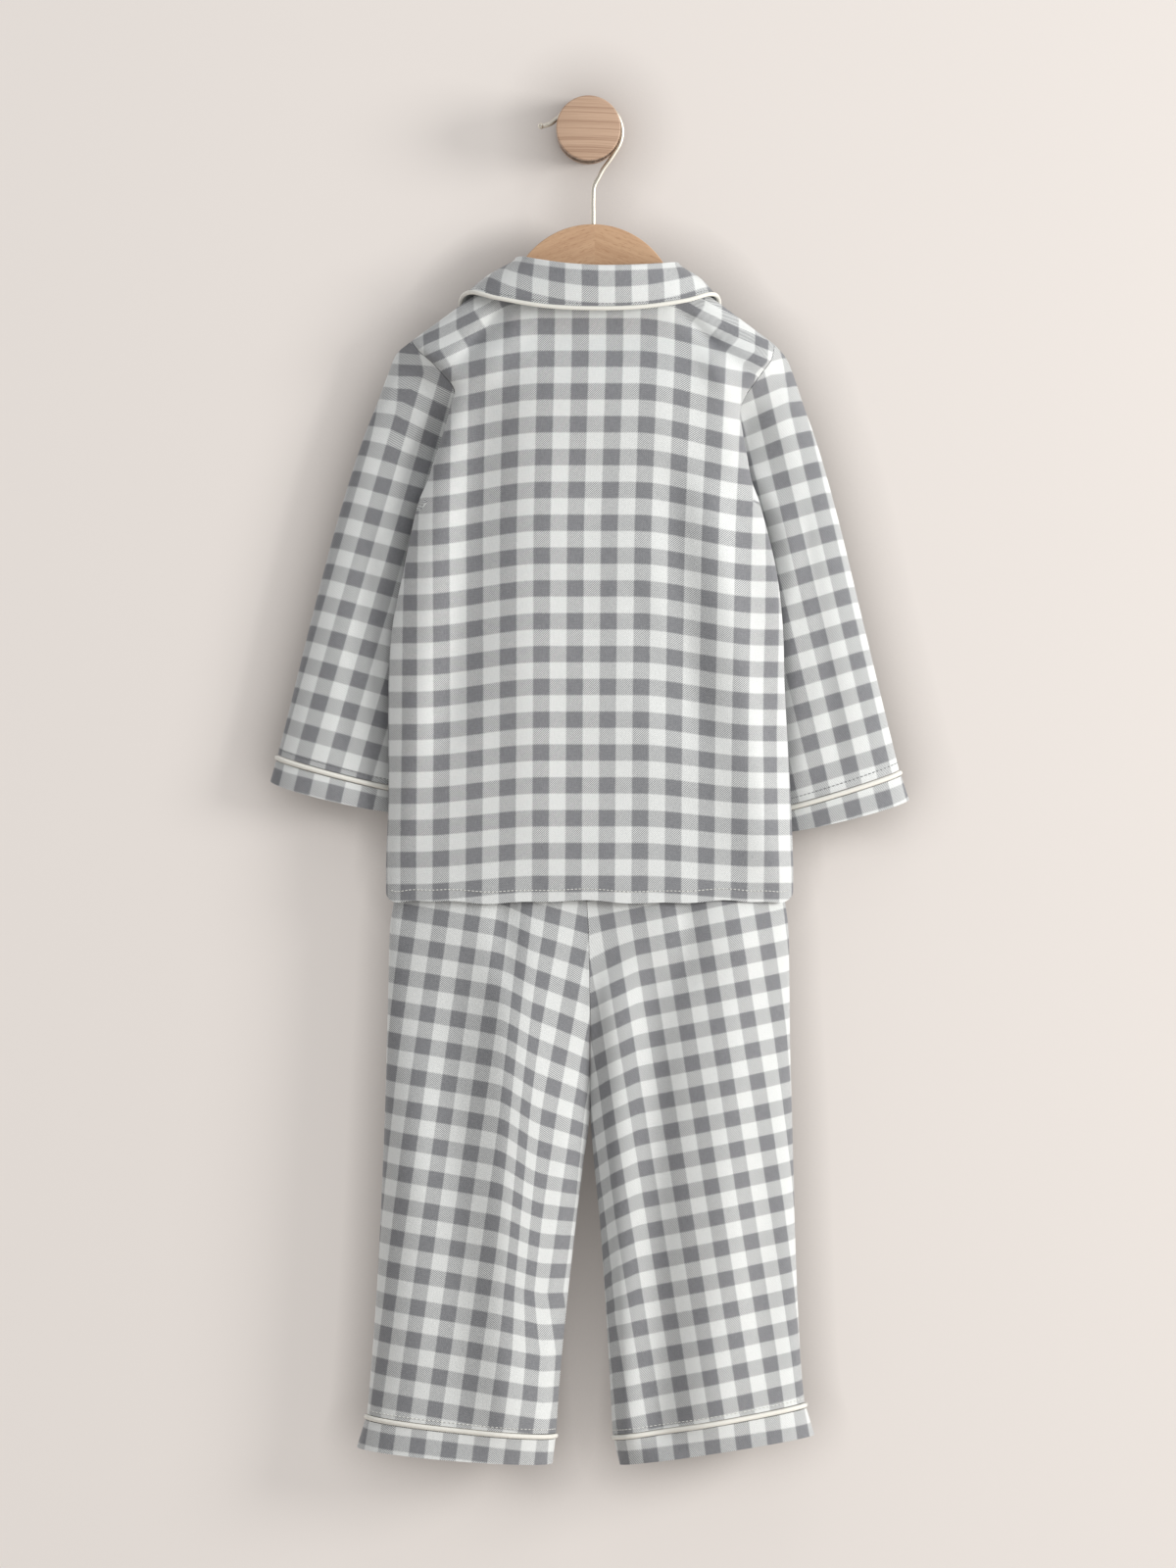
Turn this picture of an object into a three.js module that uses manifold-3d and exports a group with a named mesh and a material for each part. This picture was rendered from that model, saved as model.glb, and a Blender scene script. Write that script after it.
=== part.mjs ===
// A toddler's gingham pyjama set, long-sleeved collared top over trousers, hung with its back to the room
// on a wooden hanger whose wire hook goes over a turned wall peg.
// Millimetres, +Z up. Y = 0 is the wall and the set hangs on the -Y side of it. The origin is the middle of
// the peg's wall face. "l" is the wearer's left, at -X.

import * as THREE from 'three';
import { mergeVertices } from 'three/addons/utils/BufferGeometryUtils.js';
import Module from 'manifold-3d';

const wasm = await Module();
wasm.setup();

// ---------------------------------------------------------------- driving dimensions

const HANG_Y = -36; // plane of the hook, the hanger and the shoulder seams
const CLOTH = 1.2; // wall of the brushed cotton
const DOUBLE = 1.6; // wall where the cloth is doubled: collar, cuffs, hem bands
const ELASTIC = 2.6; // wall of the elastic waistband
const SEAM = 0.3; // gap between two pieces at a seam
const PIPING_R = 1.8;

const PEG_NECK_R = 17.3;
const PEG_DISC_R = 21.1;
const PEG_DISC_THICK = 12;
const PEG_EDGE = 0.8;

const PEG_NECK_LONG = 46;

const WIRE_R = 1.55;
const HOOK_R = 21.3;
const HOOK = { x: -0.3, z: PEG_NECK_R + SEAM + WIRE_R - HOOK_R, r: HOOK_R };
const STEM_X = 3.2;
const STEM_FOOT_Z = -74;
const BORE_DEEP = 14;
const BORE_CLEARANCE = 0.35;

const HUMP = { x: 2.7, z: -117.2, r: 55 }; // the hanger's round hump
const BAR_NECK_L = -50.8; // where the hump meets the arms
const BAR_NECK_R = 56;
const BAR_ARM_L = { x: -94, z: -127.3 }; // ends of the arms' top line
const BAR_ARM_R = { x: 99, z: -128.8 };
const BAR_ARM_HIGH = 15;
const BAR_UNDER_Z = -54; // height towards which the underside bows
const BAR_HALF_THICK = 4.5;
const BAR_BEVEL = 1.4;

const TIP_L = { x: -115.8, z: -138.6 }; // shoulder tips, where the sleeves are set in
const TIP_R = { x: 121.5, z: -141 };
const NECK_L = { x: -54, z: -93.4 }; // shoulder seams meet the collar
const NECK_R = { x: 57, z: -92.6 };
const NECK_BACK = { deep: 20, drop: 15 };
const NECK_FRONT = { deep: 22, drop: 42 };
const turnOf = (x) => Math.acos(1 - (2 * (x - TIP_L.x)) / (TIP_R.x - TIP_L.x)) / Math.PI;
const NECK_TURN_L = turnOf(NECK_L.x);
const NECK_TURN_R = turnOf(NECK_R.x);
const FALL_BACK = 5; // how soon the cloth falls clear of the hanger, on the room side
const FALL_FRONT = 9;

const TOP_HEM_Z = -505.5;
const TOP_HEM_LIFT = 14.5; // rounded corners at the side slits
const TOP_HEM_ROUND = 24;
const BACK_FLATTER = 4; // the back hangs this much flatter than the front
const PLACKET_X = 2;
const PLACKET_TURN = 0.027; // half width of the button lap, as a share of the front
const LAP_LIFT = CLOTH + SEAM + 0.4;
const SEAM_TURN = SEAM / 44; // a side seam's gap, as an angle of the body's section
const ARMHOLE_INWARD = 0.3; // how much the front armhole is cut further in than the back
const ARMHOLE_GAP = 0.6;
const UNDERARM_GAP = 1.6;
const COLLAR_LIFT = 1.1;
const CHEST_LIFT = 6; // how far the collar stands off the chest
const ROLL_INSIDE = 1.5;
const ROLL_OUTSIDE = 2.6;

const WAIST_TOP_Z = -412;
const LEG_TOP_Z = -440;
const CROTCH_Z = -645;
const CROTCH_START_Z = -560;

// ---------------------------------------------------------------- tables

// The top's outline from the shoulder tips down. left, right: where the back folds round at the side.
// edge: how far that fold lies from the hanging plane. wrap: angle the back turns past the fold to its seam.
// armhole: width of the flattened armhole from back seam to front seam. half: half depth of the body.
const topSides = [
  { z: -138.6, left: -115.8, right: 122, edge: 0, wrap: 0.0, armhole: 0, half: 20 },
  { z: -145, left: -111, right: 121, edge: -4, wrap: 0.0, armhole: 9, half: 20 },
  { z: -152, left: -103, right: 119, edge: -6.5, wrap: 0.0, armhole: 15, half: 20.5 },
  { z: -160, left: -95.7, right: 113, edge: -8, wrap: 0.0, armhole: 18, half: 21 },
  { z: -170, left: -88, right: 106, edge: -9, wrap: 0.06, armhole: 19, half: 22 },
  { z: -182, left: -90.5, right: 99.5, edge: -9, wrap: 0.3, armhole: 17, half: 22 },
  { z: -198, left: -94.6, right: 100.8, edge: -8.5, wrap: 0.42, armhole: 13, half: 22 },
  { z: -215, left: -100.5, right: 104, edge: -7.5, wrap: 0.42, armhole: 9.5, half: 22 },
  { z: -230, left: -105.2, right: 106.8, edge: -6.5, wrap: 0.38, armhole: 5.5, half: 22 },
  { z: -245, left: -111.5, right: 112.2, edge: -6, wrap: 0.33, armhole: 0, half: 22 },
  { z: -288, left: -120.8, right: 122.8, edge: -6, wrap: 0.3, armhole: 0, half: 22 },
  { z: -326, left: -128.3, right: 127.2, edge: -6, wrap: 0.3, armhole: 0, half: 22 },
  { z: -365, left: -130.9, right: 128.4, edge: -6, wrap: 0.3, armhole: 0, half: 22 },
  { z: -440, left: -130.9, right: 132.4, edge: -6, wrap: 0.3, armhole: 0, half: 22.5 },
  { z: -480, left: -132.4, right: 133.9, edge: -6, wrap: 0.3, armhole: 0, half: 24 },
  { z: -506, left: -132.4, right: 133.9, edge: -6, wrap: 0.3, armhole: 0, half: 24.5 },
];
const UNDERARM_Z = -245;
const UNDERARM_DOWN = 0.302; // share of the side, from the shoulder tip to the hem

// The sleeves from the armhole to the cuff. out: outer edge. in: inner edge, behind the body.
// y: middle of the tube towards the wall. half: half depth of the tube.
const sleeveRows = {
  l: [
    { down: 0, outX: TIP_L.x, outZ: TIP_L.z, inX: -106, inZ: -245, y: 1, half: 3 },
    { down: 0.06, outX: -125.5, outZ: -146.5, inX: -112, inZ: -256, y: 9, half: 6 },
    { down: 0.13, outX: -131, outZ: -159, inX: -113.5, inZ: -268, y: 11, half: 8 },
    { down: 0.22, outX: -138.5, outZ: -179, inX: -114, inZ: -282, y: 11.5, half: 9.5 },
    { down: 0.34, outX: -149, outZ: -206, inX: -114, inZ: -301, y: 11.5, half: 10.5 },
    { down: 0.52, outX: -164.5, outZ: -256, inX: -117, inZ: -333, y: 11.5, half: 11.5 },
    { down: 0.7, outX: -181.5, outZ: -320, inX: -120, inZ: -369, y: 11.5, half: 12 },
    { down: 0.88, outX: -196.5, outZ: -381, inX: -121.5, inZ: -407, y: 12, half: 13 },
    { down: 1, outX: -203.6, outZ: -409, inX: -122, inZ: -430, y: 12.5, half: 13.5 },
  ],
  r: [
    { down: 0, outX: TIP_R.x, outZ: TIP_R.z, inX: 106, inZ: -245, y: 1, half: 3 },
    { down: 0.06, outX: 129, outZ: -149, inX: 113, inZ: -256, y: 9, half: 6 },
    { down: 0.13, outX: 134, outZ: -160, inX: 114, inZ: -268, y: 11, half: 8 },
    { down: 0.22, outX: 140.5, outZ: -179, inX: 115, inZ: -282, y: 11.5, half: 9.5 },
    { down: 0.34, outX: 150, outZ: -206, inX: 115, inZ: -301, y: 11.5, half: 10.5 },
    { down: 0.52, outX: 163.5, outZ: -254, inX: 118, inZ: -336, y: 11.5, half: 11.5 },
    { down: 0.7, outX: 179, outZ: -318, inX: 121, inZ: -374, y: 11.5, half: 12 },
    { down: 0.88, outX: 195, outZ: -384, inX: 122.5, inZ: -417, y: 12, half: 13 },
    { down: 1, outX: 203.6, outZ: -419, inX: 123, inZ: -443.5, y: 12.5, half: 13.5 },
  ],
};
const SLEEVE_HEAD = 0.34; // share of the sleeve over which the armhole's shape fades out

// Bottom edge of each cuff, and how far its middle sags.
const cuffEnd = {
  l: { outX: -208.6, outZ: -426.6, inX: -122.5, inZ: -446.5, y: 12.5, half: 14 },
  r: { outX: 210.2, outZ: -438.5, inX: 123.5, inZ: -459.5, y: 12.5, half: 14 },
};
const SLEEVE_SAG = 2;
const CUFF_SAG = 4;

// The legs from the waistband down. out: side seam. in: centre seam, then the inseam.
const legRows = {
  l: [
    { z: -440, out: -110, in: 0, half: 17.7 },
    { z: -470, out: -121, in: -0.5, half: 17 },
    { z: -505, out: -127.2, in: -1, half: 17 },
    { z: -523, out: -129.9, in: 0, half: 19 },
    { z: -560, out: -130.9, in: 0.8, half: 20 },
    { z: -603, out: -132, in: 1, half: 20.5 },
    { z: -645, out: -133.2, in: 1, half: 21 },
    { z: -675, out: -134.4, in: -3, half: 21.5 },
    { z: -716, out: -136.2, in: -8, half: 22 },
    { z: -761, out: -138.6, in: -13.1, half: 22 },
    { z: -813, out: -142.4, in: -18.2, half: 22 },
    { z: -853, out: -146, in: -21, half: 22 },
  ],
  r: [
    { z: -440, out: 111, in: 0, half: 17.7 },
    { z: -470, out: 122, in: -0.5, half: 17 },
    { z: -505, out: 128.4, in: -1, half: 17 },
    { z: -523, out: 130.8, in: 0, half: 19 },
    { z: -560, out: 131.5, in: 0.8, half: 20 },
    { z: -603, out: 132, in: 1, half: 20.5 },
    { z: -645, out: 133.2, in: 1, half: 21 },
    { z: -675, out: 134, in: 3.4, half: 21.5 },
    { z: -716, out: 135, in: 7.4, half: 22 },
    { z: -761, out: 136.6, in: 10.6, half: 22 },
    { z: -813, out: 139.4, in: 13.6, half: 22 },
    { z: -853, out: 143.6, in: 15.6, half: 22 },
  ],
};
const LEG_EDGE = -5; // the legs' side seams lie this far in front of the hanging plane
const SEAT_DIP = 0.2; // the seat is drawn in towards the centre back seam

// Bottom of each leg, where the piping is, and bottom of its hem band.
const legEnd = {
  l: { outZ: -840, inZ: -852.5, sag: 2.5 },
  r: { outZ: -832.5, inZ: -853.5, sag: 1.5 },
};
const hemEnd = {
  l: { out: -151.5, in: -23.4, outZ: -862, inZ: -872.5, sag: 3, half: 23 },
  r: { out: 147.8, in: 20.4, outZ: -854, inZ: -873.5, sag: 1.5, half: 23 },
};

// The largest folds of the cloth: a crest (or, with a negative rise, a trough) that runs from one height to
// another. left, right: reach of its two flanks.
const backFolds = [
  { x0: -72, z0: -170, x1: -100, z1: -440, left: 14, right: 16, rise: -2.6 },
  { x0: 52, z0: -230, x1: 62, z1: -400, left: 15, right: 14, rise: -1.8 },
  { x0: 84, z0: -175, x1: 104, z1: -460, left: 14, right: 14, rise: 2.6 },
];
const legFolds = {
  l: [
    { x0: -50, z0: -520, x1: -59, z1: -835, left: 17, right: 10, rise: 6 },
    { x0: -38, z0: -530, x1: -43, z1: -835, left: 9, right: 12, rise: -6 },
  ],
  r: [
    { x0: 13, z0: -560, x1: 22, z1: -835, left: 10, right: 8, rise: 4 },
    { x0: 34, z0: -540, x1: 38, z1: -835, left: 12, right: 16, rise: -5 },
    { x0: 96, z0: -520, x1: 78, z1: -835, left: 20, right: 18, rise: 3 },
  ],
};
const FOLD_FADE = 40; // height over which a fold starts and ends

// The collar, by its turn round the neck from the middle of the back, in degrees.
// roll: its folded top. edge: its free edge, which the piping follows.
const collarRows = [
  { turn: -158, rollX: -17, rollY: 23, rollZ: -121, edgeX: -20, edgeY: 30, edgeZ: -139 },
  { turn: -138, rollX: -33, rollY: 19, rollZ: -110, edgeX: -48, edgeY: 29, edgeZ: -160 },
  { turn: -112, rollX: -46, rollY: 11, rollZ: -91, edgeX: -72, edgeY: 24, edgeZ: -138 },
  { turn: -101, rollX: -47.2, rollY: 5.5, rollZ: -86.5, edgeX: -80.5, edgeY: 17.5, edgeZ: -121 },
  { turn: -90, rollX: -47.5, rollY: 0, rollZ: -84, edgeX: -82.5, edgeY: 6, edgeZ: -111 },
  { turn: -72, rollX: -43, rollY: -8, rollZ: -83.5, edgeX: -76, edgeY: -10, edgeZ: -106 },
  { turn: -48, rollX: -33, rollY: -16, rollZ: -85.5, edgeX: -58, edgeY: -20, edgeZ: -110 },
  { turn: -24, rollX: -14, rollY: -22, rollZ: -88.3, edgeX: -28, edgeY: -25.5, edgeZ: -115 },
  { turn: 0, rollX: 7, rollY: -24, rollZ: -89.6, edgeX: 3, edgeY: -27, edgeZ: -116.5 },
  { turn: 24, rollX: 28, rollY: -22, rollZ: -89.3, edgeX: 34, edgeY: -25.5, edgeZ: -115.5 },
  { turn: 48, rollX: 45, rollY: -16, rollZ: -88.3, edgeX: 62, edgeY: -20, edgeZ: -111.5 },
  { turn: 72, rollX: 56, rollY: -8, rollZ: -87.2, edgeX: 79, edgeY: -10, edgeZ: -107 },
  { turn: 90, rollX: 59, rollY: 0, rollZ: -87.5, edgeX: 84.5, edgeY: 6, edgeZ: -110.5 },
  { turn: 101, rollX: 56, rollY: 5.5, rollZ: -89, edgeX: 83.5, edgeY: 17.5, edgeZ: -121 },
  { turn: 112, rollX: 51, rollY: 11, rollZ: -92, edgeX: 77, edgeY: 24, edgeZ: -138 },
  { turn: 138, rollX: 36.5, rollY: 19, rollZ: -110, edgeX: 56, edgeY: 29, edgeZ: -160 },
  { turn: 158, rollX: 21, rollY: 23, rollZ: -121, edgeX: 27, edgeY: 30, edgeZ: -139 },
];

const buttonRows = [
  { z: -165 },
  { z: -240 },
  { z: -315 },
  { z: -390 },
];
const BUTTON = { r: 5.5, thick: 2.2, rim: 1.1 };

// ---------------------------------------------------------------- materials

const material = (color, roughness, metalness = 0) =>
  new THREE.MeshStandardMaterial({ color, roughness, metalness });

const gingham = material(0xbfc0c2, 0.95);
const pipingCotton = material(0xe8e6de, 0.9);
const beech = material(0xcda57d, 0.6);
const pegBeech = material(0xd2b291, 0.65);
const steel = material(0xb9b3a4, 0.32, 1);
const shell = material(0xe6e4dd, 0.35);

// ---------------------------------------------------------------- helpers

const smooth = (t) => {
  const c = Math.min(1, Math.max(0, t));
  return c * c * (3 - 2 * c);
};
const mix = (a, b, t) => a + (b - a) * t;

// Reads a column of a table at a value of its key column, on a smooth curve through the rows.
function read(rows, key, column, value) {
  const sign = Math.sign(rows[rows.length - 1][key] - rows[0][key]);
  const last = rows.length - 1;
  if ((value - rows[0][key]) * sign <= 0) return rows[0][column];
  if ((value - rows[last][key]) * sign >= 0) return rows[last][column];
  let i = 0;
  while ((value - rows[i + 1][key]) * sign > 0) i += 1;
  const slope = (k) => {
    const a = Math.max(0, k - 1);
    const b = Math.min(last, k + 1);
    return (rows[b][column] - rows[a][column]) / (rows[b][key] - rows[a][key]);
  };
  const span = rows[i + 1][key] - rows[i][key];
  const t = (value - rows[i][key]) / span;
  const h = 3 * t * t - 2 * t * t * t;
  const bend = (t - 2 * t * t + t * t * t) * slope(i) + (t * t * t - t * t) * slope(i + 1);
  return mix(rows[i][column], rows[i + 1][column], h) + bend * span;
}

function foldAt(folds, x, z) {
  let sum = 0;
  for (const f of folds) {
    const along = (z - f.z0) / (f.z1 - f.z0);
    const off = x - mix(f.x0, f.x1, along);
    const reach = off < 0 ? f.left : f.right;
    const ends = smooth((f.z0 - z) / FOLD_FADE + 0.5) * smooth((z - f.z1) / FOLD_FADE + 0.5);
    sum += f.rise * Math.exp(-((off / reach) ** 2)) * ends;
  }
  return sum;
}

// A closed wall of even thickness on a grid of outer points. Rows run down the cloth. A row is open, or goes
// all round when `round` is set. `flip` turns the outside over. `trim` adjusts the direction of the wall at
// a point, so that two pieces meet along their seam.
function clothWall(points, { thick = CLOTH, round = false, flip = false, trim = null } = {}) {
  const rows = points.length;
  const cols = points[0].length;
  const wrap = (j) => (round ? (j + cols) % cols : Math.min(cols - 1, Math.max(0, j)));
  const clampRow = (i) => Math.min(rows - 1, Math.max(0, i));
  const positions = [];
  const inner = [];
  for (let i = 0; i < rows; i += 1) {
    for (let j = 0; j < cols; j += 1) {
      const across = points[i][wrap(j + 1)].clone().sub(points[i][wrap(j - 1)]);
      const down = points[clampRow(i + 1)][j].clone().sub(points[clampRow(i - 1)][j]);
      const normal = across.cross(down).normalize();
      if (flip) normal.negate();
      if (trim) trim(normal, i, j, rows, cols);
      normal.normalize();
      positions.push(points[i][j]);
      inner.push(points[i][j].clone().addScaledVector(normal, -thick));
    }
  }
  const count = rows * cols;
  const index = [];
  const add = (a, b, c) => (flip ? index.push(a, c, b) : index.push(a, b, c));
  const quad = (a, b, c, d) => {
    add(a, b, c);
    add(a, c, d);
  };
  const at = (i, j) => i * cols + wrap(j);
  const across = round ? cols : cols - 1;
  for (let i = 0; i < rows - 1; i += 1) {
    for (let j = 0; j < across; j += 1) {
      quad(at(i, j), at(i, j + 1), at(i + 1, j + 1), at(i + 1, j));
      quad(count + at(i, j + 1), count + at(i, j), count + at(i + 1, j), count + at(i + 1, j + 1));
    }
    if (!round) {
      quad(at(i, 0), at(i + 1, 0), count + at(i + 1, 0), count + at(i, 0));
      quad(at(i + 1, cols - 1), at(i, cols - 1), count + at(i, cols - 1), count + at(i + 1, cols - 1));
    }
  }
  for (let j = 0; j < across; j += 1) {
    quad(at(0, j + 1), at(0, j), count + at(0, j), count + at(0, j + 1));
    quad(at(rows - 1, j), at(rows - 1, j + 1), count + at(rows - 1, j + 1), count + at(rows - 1, j));
  }
  const geometry = new THREE.BufferGeometry();
  const xyz = [...positions, ...inner].flatMap((p) => [p.x, p.y, p.z]);
  geometry.setAttribute('position', new THREE.Float32BufferAttribute(xyz, 3));
  geometry.setIndex(index);
  geometry.computeVertexNormals();
  return geometry;
}

const gridOf = (downs, acrosses, point) => downs.map((v) => acrosses.map((u) => point(u, v)));
const steps = (n) => Array.from({ length: n + 1 }, (_, i) => i / n);
const ringSteps = (n) => Array.from({ length: n }, (_, i) => i / n);

const group = new THREE.Group();
function place(name, geometry, finish) {
  const mesh = new THREE.Mesh(geometry, finish);
  mesh.name = name;
  group.add(mesh);
  return mesh;
}

// ---------------------------------------------------------------- the top's body

// Height of the top edge and its depth from the hanging plane, at a place across it.
function topEdge(x, neck) {
  if (x <= NECK_L.x) {
    const t = (x - TIP_L.x) / (NECK_L.x - TIP_L.x);
    return { z: mix(TIP_L.z, NECK_L.z, t), deep: 0 };
  }
  if (x >= NECK_R.x) {
    const t = (x - NECK_R.x) / (TIP_R.x - NECK_R.x);
    return { z: mix(NECK_R.z, TIP_R.z, t), deep: 0 };
  }
  const t = (x - NECK_L.x) / (NECK_R.x - NECK_L.x);
  const s = 2 * t - 1;
  const z = mix(NECK_L.z, NECK_R.z, t) - neck.drop * (1 - s * s);
  return { z, deep: neck.deep * Math.sqrt(1 - s * s) };
}

const topHemZ = (turn) => TOP_HEM_Z + TOP_HEM_LIFT * Math.abs(Math.cos(turn)) ** TOP_HEM_ROUND;
const fallFrom = (drop, fall) => 1 - Math.exp(-Math.sqrt(Math.max(0, drop) / fall));

// Half depth of the body, flatter towards the back.
const bodyHalf = (z, turn) => read(topSides, 'z', 'half', z) - BACK_FLATTER * Math.sin(turn);

function sides(z) {
  const left = read(topSides, 'z', 'left', z);
  const right = read(topSides, 'z', 'right', z);
  return { middle: (left + right) / 2, half: (right - left) / 2 };
}

// A point of the back: across from the left seam to the right seam, down from the top edge to the hem.
function backPoint(across, down) {
  const turn = Math.PI * across;
  const edge = topEdge(mix(TIP_L.x, TIP_R.x, (1 - Math.cos(turn)) / 2), NECK_BACK);
  const z = mix(edge.z, topHemZ(turn), down);
  const wrap = read(topSides, 'z', 'wrap', z);
  const angle = mix(-wrap, Math.PI + wrap, across);
  const { middle, half } = sides(z);
  const x = middle - half * Math.cos(angle);
  const round = bodyHalf(z, angle) * Math.sin(angle);
  const deep = mix(edge.deep, round, fallFrom(edge.z - z, FALL_BACK)) + foldAt(backFolds, x, z);
  return new THREE.Vector3(x, HANG_Y + read(topSides, 'z', 'edge', z) - deep, z);
}

// A point of the front, on the wall side, from the back's left seam to its right seam. Above the underarm it
// starts at the far side of the armhole.
function frontPoint(across, down) {
  const turn = Math.PI * across;
  const edge = topEdge(mix(TIP_L.x, TIP_R.x, (1 - Math.cos(turn)) / 2), NECK_FRONT);
  const z = mix(edge.z, topHemZ(turn), down);
  const wrap = read(topSides, 'z', 'wrap', z);
  const armhole = read(topSides, 'z', 'armhole', z);
  const fold = read(topSides, 'z', 'edge', z);
  const { middle, half } = sides(z);
  const seamY = fold + bodyHalf(z, -wrap) * Math.sin(wrap) + armhole;
  const reach = half - (armhole * ARMHOLE_INWARD) / Math.cos(wrap);
  const swell = (fold + bodyHalf(z, -Math.PI / 2) - seamY) / (1 - Math.sin(wrap));
  const angle = mix(wrap + SEAM_TURN, Math.PI - wrap - SEAM_TURN, across);
  const inward = Math.max(0, Math.sin(angle) - Math.sin(wrap)) / (1 - Math.sin(wrap));
  const x = middle - reach * Math.cos(angle) + (PLACKET_X - middle) * inward ** 2;
  const round = seamY + swell * inward * (1 - Math.sin(wrap));
  const deep = mix(Math.max(edge.deep, SEAM), round, fallFrom(edge.z - z, FALL_FRONT));
  return new THREE.Vector3(x, HANG_Y + deep, z);
}

// The wearer's left front laps over the right one at the buttons.
const lapLift = (across) => LAP_LIFT * smooth((across - 0.5 + 2.2 * PLACKET_TURN) / PLACKET_TURN);
function frontLeftPoint(across, down) {
  const point = frontPoint(across, down);
  point.y += lapLift(across);
  return point;
}

// At the side and shoulder seams both panels' walls end in the seam's own plane.
function topTrim(points) {
  return (normal, i, j) => {
    const { x, z } = points[i][j];
    const atSide = Math.abs(x - sides(z).middle) > 0.9 * sides(z).half;
    if (i === 0 && (x <= NECK_L.x + 1 || x >= NECK_R.x - 1)) normal.y = 0;
    const free = j > 0 && j < points[i].length - 1;
    if (free || !atSide || z > UNDERARM_Z) return;
    const wrap = read(topSides, 'z', 'wrap', z);
    const outX = bodyHalf(z, -wrap) * Math.cos(wrap) * Math.sign(x);
    normal.set(outX, sides(z).half * Math.sin(wrap), 0);
  };
}

// The rows of the body down the armhole, which the sleeves share.
const armholeDowns = [0, 0.004, 0.015, 0.035, 0.06, 0.1, 0.15, 0.21, 0.26, 0.285];

function buildTop() {
  const downs = [...armholeDowns, UNDERARM_DOWN, 0.4, 0.52, 0.66, 0.8, 0.93, 1];
  const backColumns = [0, 0.03, 0.07, 0.12, 0.18, 0.25, NECK_TURN_L, 0.355, 0.38, 0.42, 0.47, 0.53];
  backColumns.push(0.58, 0.615, 0.638, NECK_TURN_R, 0.75, 0.82, 0.88, 0.93, 0.97, 1);
  const back = gridOf(downs, backColumns, backPoint);
  place('top_back', clothWall(back, { flip: true, trim: topTrim(back) }), gingham);

  const lap = [0.5 - 2.2 * PLACKET_TURN, 0.5 - 1.2 * PLACKET_TURN, 0.5 + PLACKET_TURN];
  const leftColumns = [0, 0.04, 0.1, 0.18, 0.26, NECK_TURN_L, 0.355, 0.38, 0.41, ...lap];
  const left = gridOf(downs, leftColumns, frontLeftPoint);
  place('top_front_l', clothWall(left, { trim: topTrim(left) }), gingham);
  const rightColumns = [0.5 - PLACKET_TURN, 0.5, 0.53, 0.56, 0.59, 0.615, 0.638, NECK_TURN_R, 0.74, 0.82, 0.9, 0.96, 1];
  const right = gridOf(downs, rightColumns, frontPoint);
  place('top_front_r', clothWall(right, { trim: topTrim(right) }), gingham);
}

// ---------------------------------------------------------------- sleeves and cuffs

const isLeft = (side) => side === 'l';
const towards = (from, to, distance) => from.clone().add(to.clone().sub(from).setLength(distance));

// A point of the armhole. Its turn runs from the shoulder tip down the back seam, and up the front.
function armholePoint(side, turn) {
  const across = isLeft(side) ? 0 : 1;
  const down = (UNDERARM_DOWN * (1 - Math.cos(turn))) / 2;
  return turn <= Math.PI ? backPoint(across, down) : frontPoint(across, down);
}

function sleeveChord(side, turn, down) {
  const rows = sleeveRows[side];
  const get = (column) => read(rows, 'down', column, down);
  const s = (1 - Math.cos(turn)) / 2;
  const sag = SLEEVE_SAG * down ** 3 * Math.abs(Math.sin(turn));
  const x = mix(get('outX'), get('inX'), s);
  const y = HANG_Y + get('y') - get('half') * Math.sin(turn);
  return new THREE.Vector3(x, y, mix(get('outZ'), get('inZ'), s) - sag);
}

function sleevePoint(side, around, down) {
  const turn = 2 * Math.PI * around;
  const head = armholePoint(side, turn).sub(sleeveChord(side, turn, 0));
  const share = 1 - smooth(down / SLEEVE_HEAD);
  return sleeveChord(side, turn, down).addScaledVector(head, share);
}

function cuffPoint(side, around, along) {
  const turn = 2 * Math.PI * around;
  const end = cuffEnd[side];
  const s = (1 - Math.cos(turn)) / 2;
  const z = mix(end.outZ, end.inZ, s) - CUFF_SAG * Math.abs(Math.sin(turn));
  const y = HANG_Y + end.y - end.half * Math.sin(turn);
  const bottom = new THREE.Vector3(mix(end.outX, end.inX, s), y, z);
  return sleevePoint(side, around, 1).lerp(bottom, along);
}

// A piped seam between two rings of cloth: the piping's middle, and where the next piece starts.
const PIPED_MIDDLE = PIPING_R + SEAM;
const PIPED_WIDTH = 2 * PIPED_MIDDLE;

// A piping round a tube of cloth. Its two ends meet in the seam at the tube's inner edge.
function pipingRound(name, pointAt) {
  const gap = 0.006;
  const points = steps(20).map((t) => pointAt((0.5 + gap + t * (1 - 2 * gap)) % 1));
  place(name, pipingAlong(points, 26), pipingCotton);
}

function pipingAlong(points, count) {
  const section = new THREE.Shape();
  const sides = 6;
  for (let i = 0; i < sides; i += 1) {
    const angle = (2 * Math.PI * i) / sides;
    const move = i === 0 ? 'moveTo' : 'lineTo';
    section[move](PIPING_R * Math.cos(angle), PIPING_R * Math.sin(angle));
  }
  section.closePath();
  const extrudePath = new THREE.CatmullRomCurve3(points);
  return new THREE.ExtrudeGeometry(section, { steps: count, extrudePath, bevelEnabled: false });
}

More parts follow.
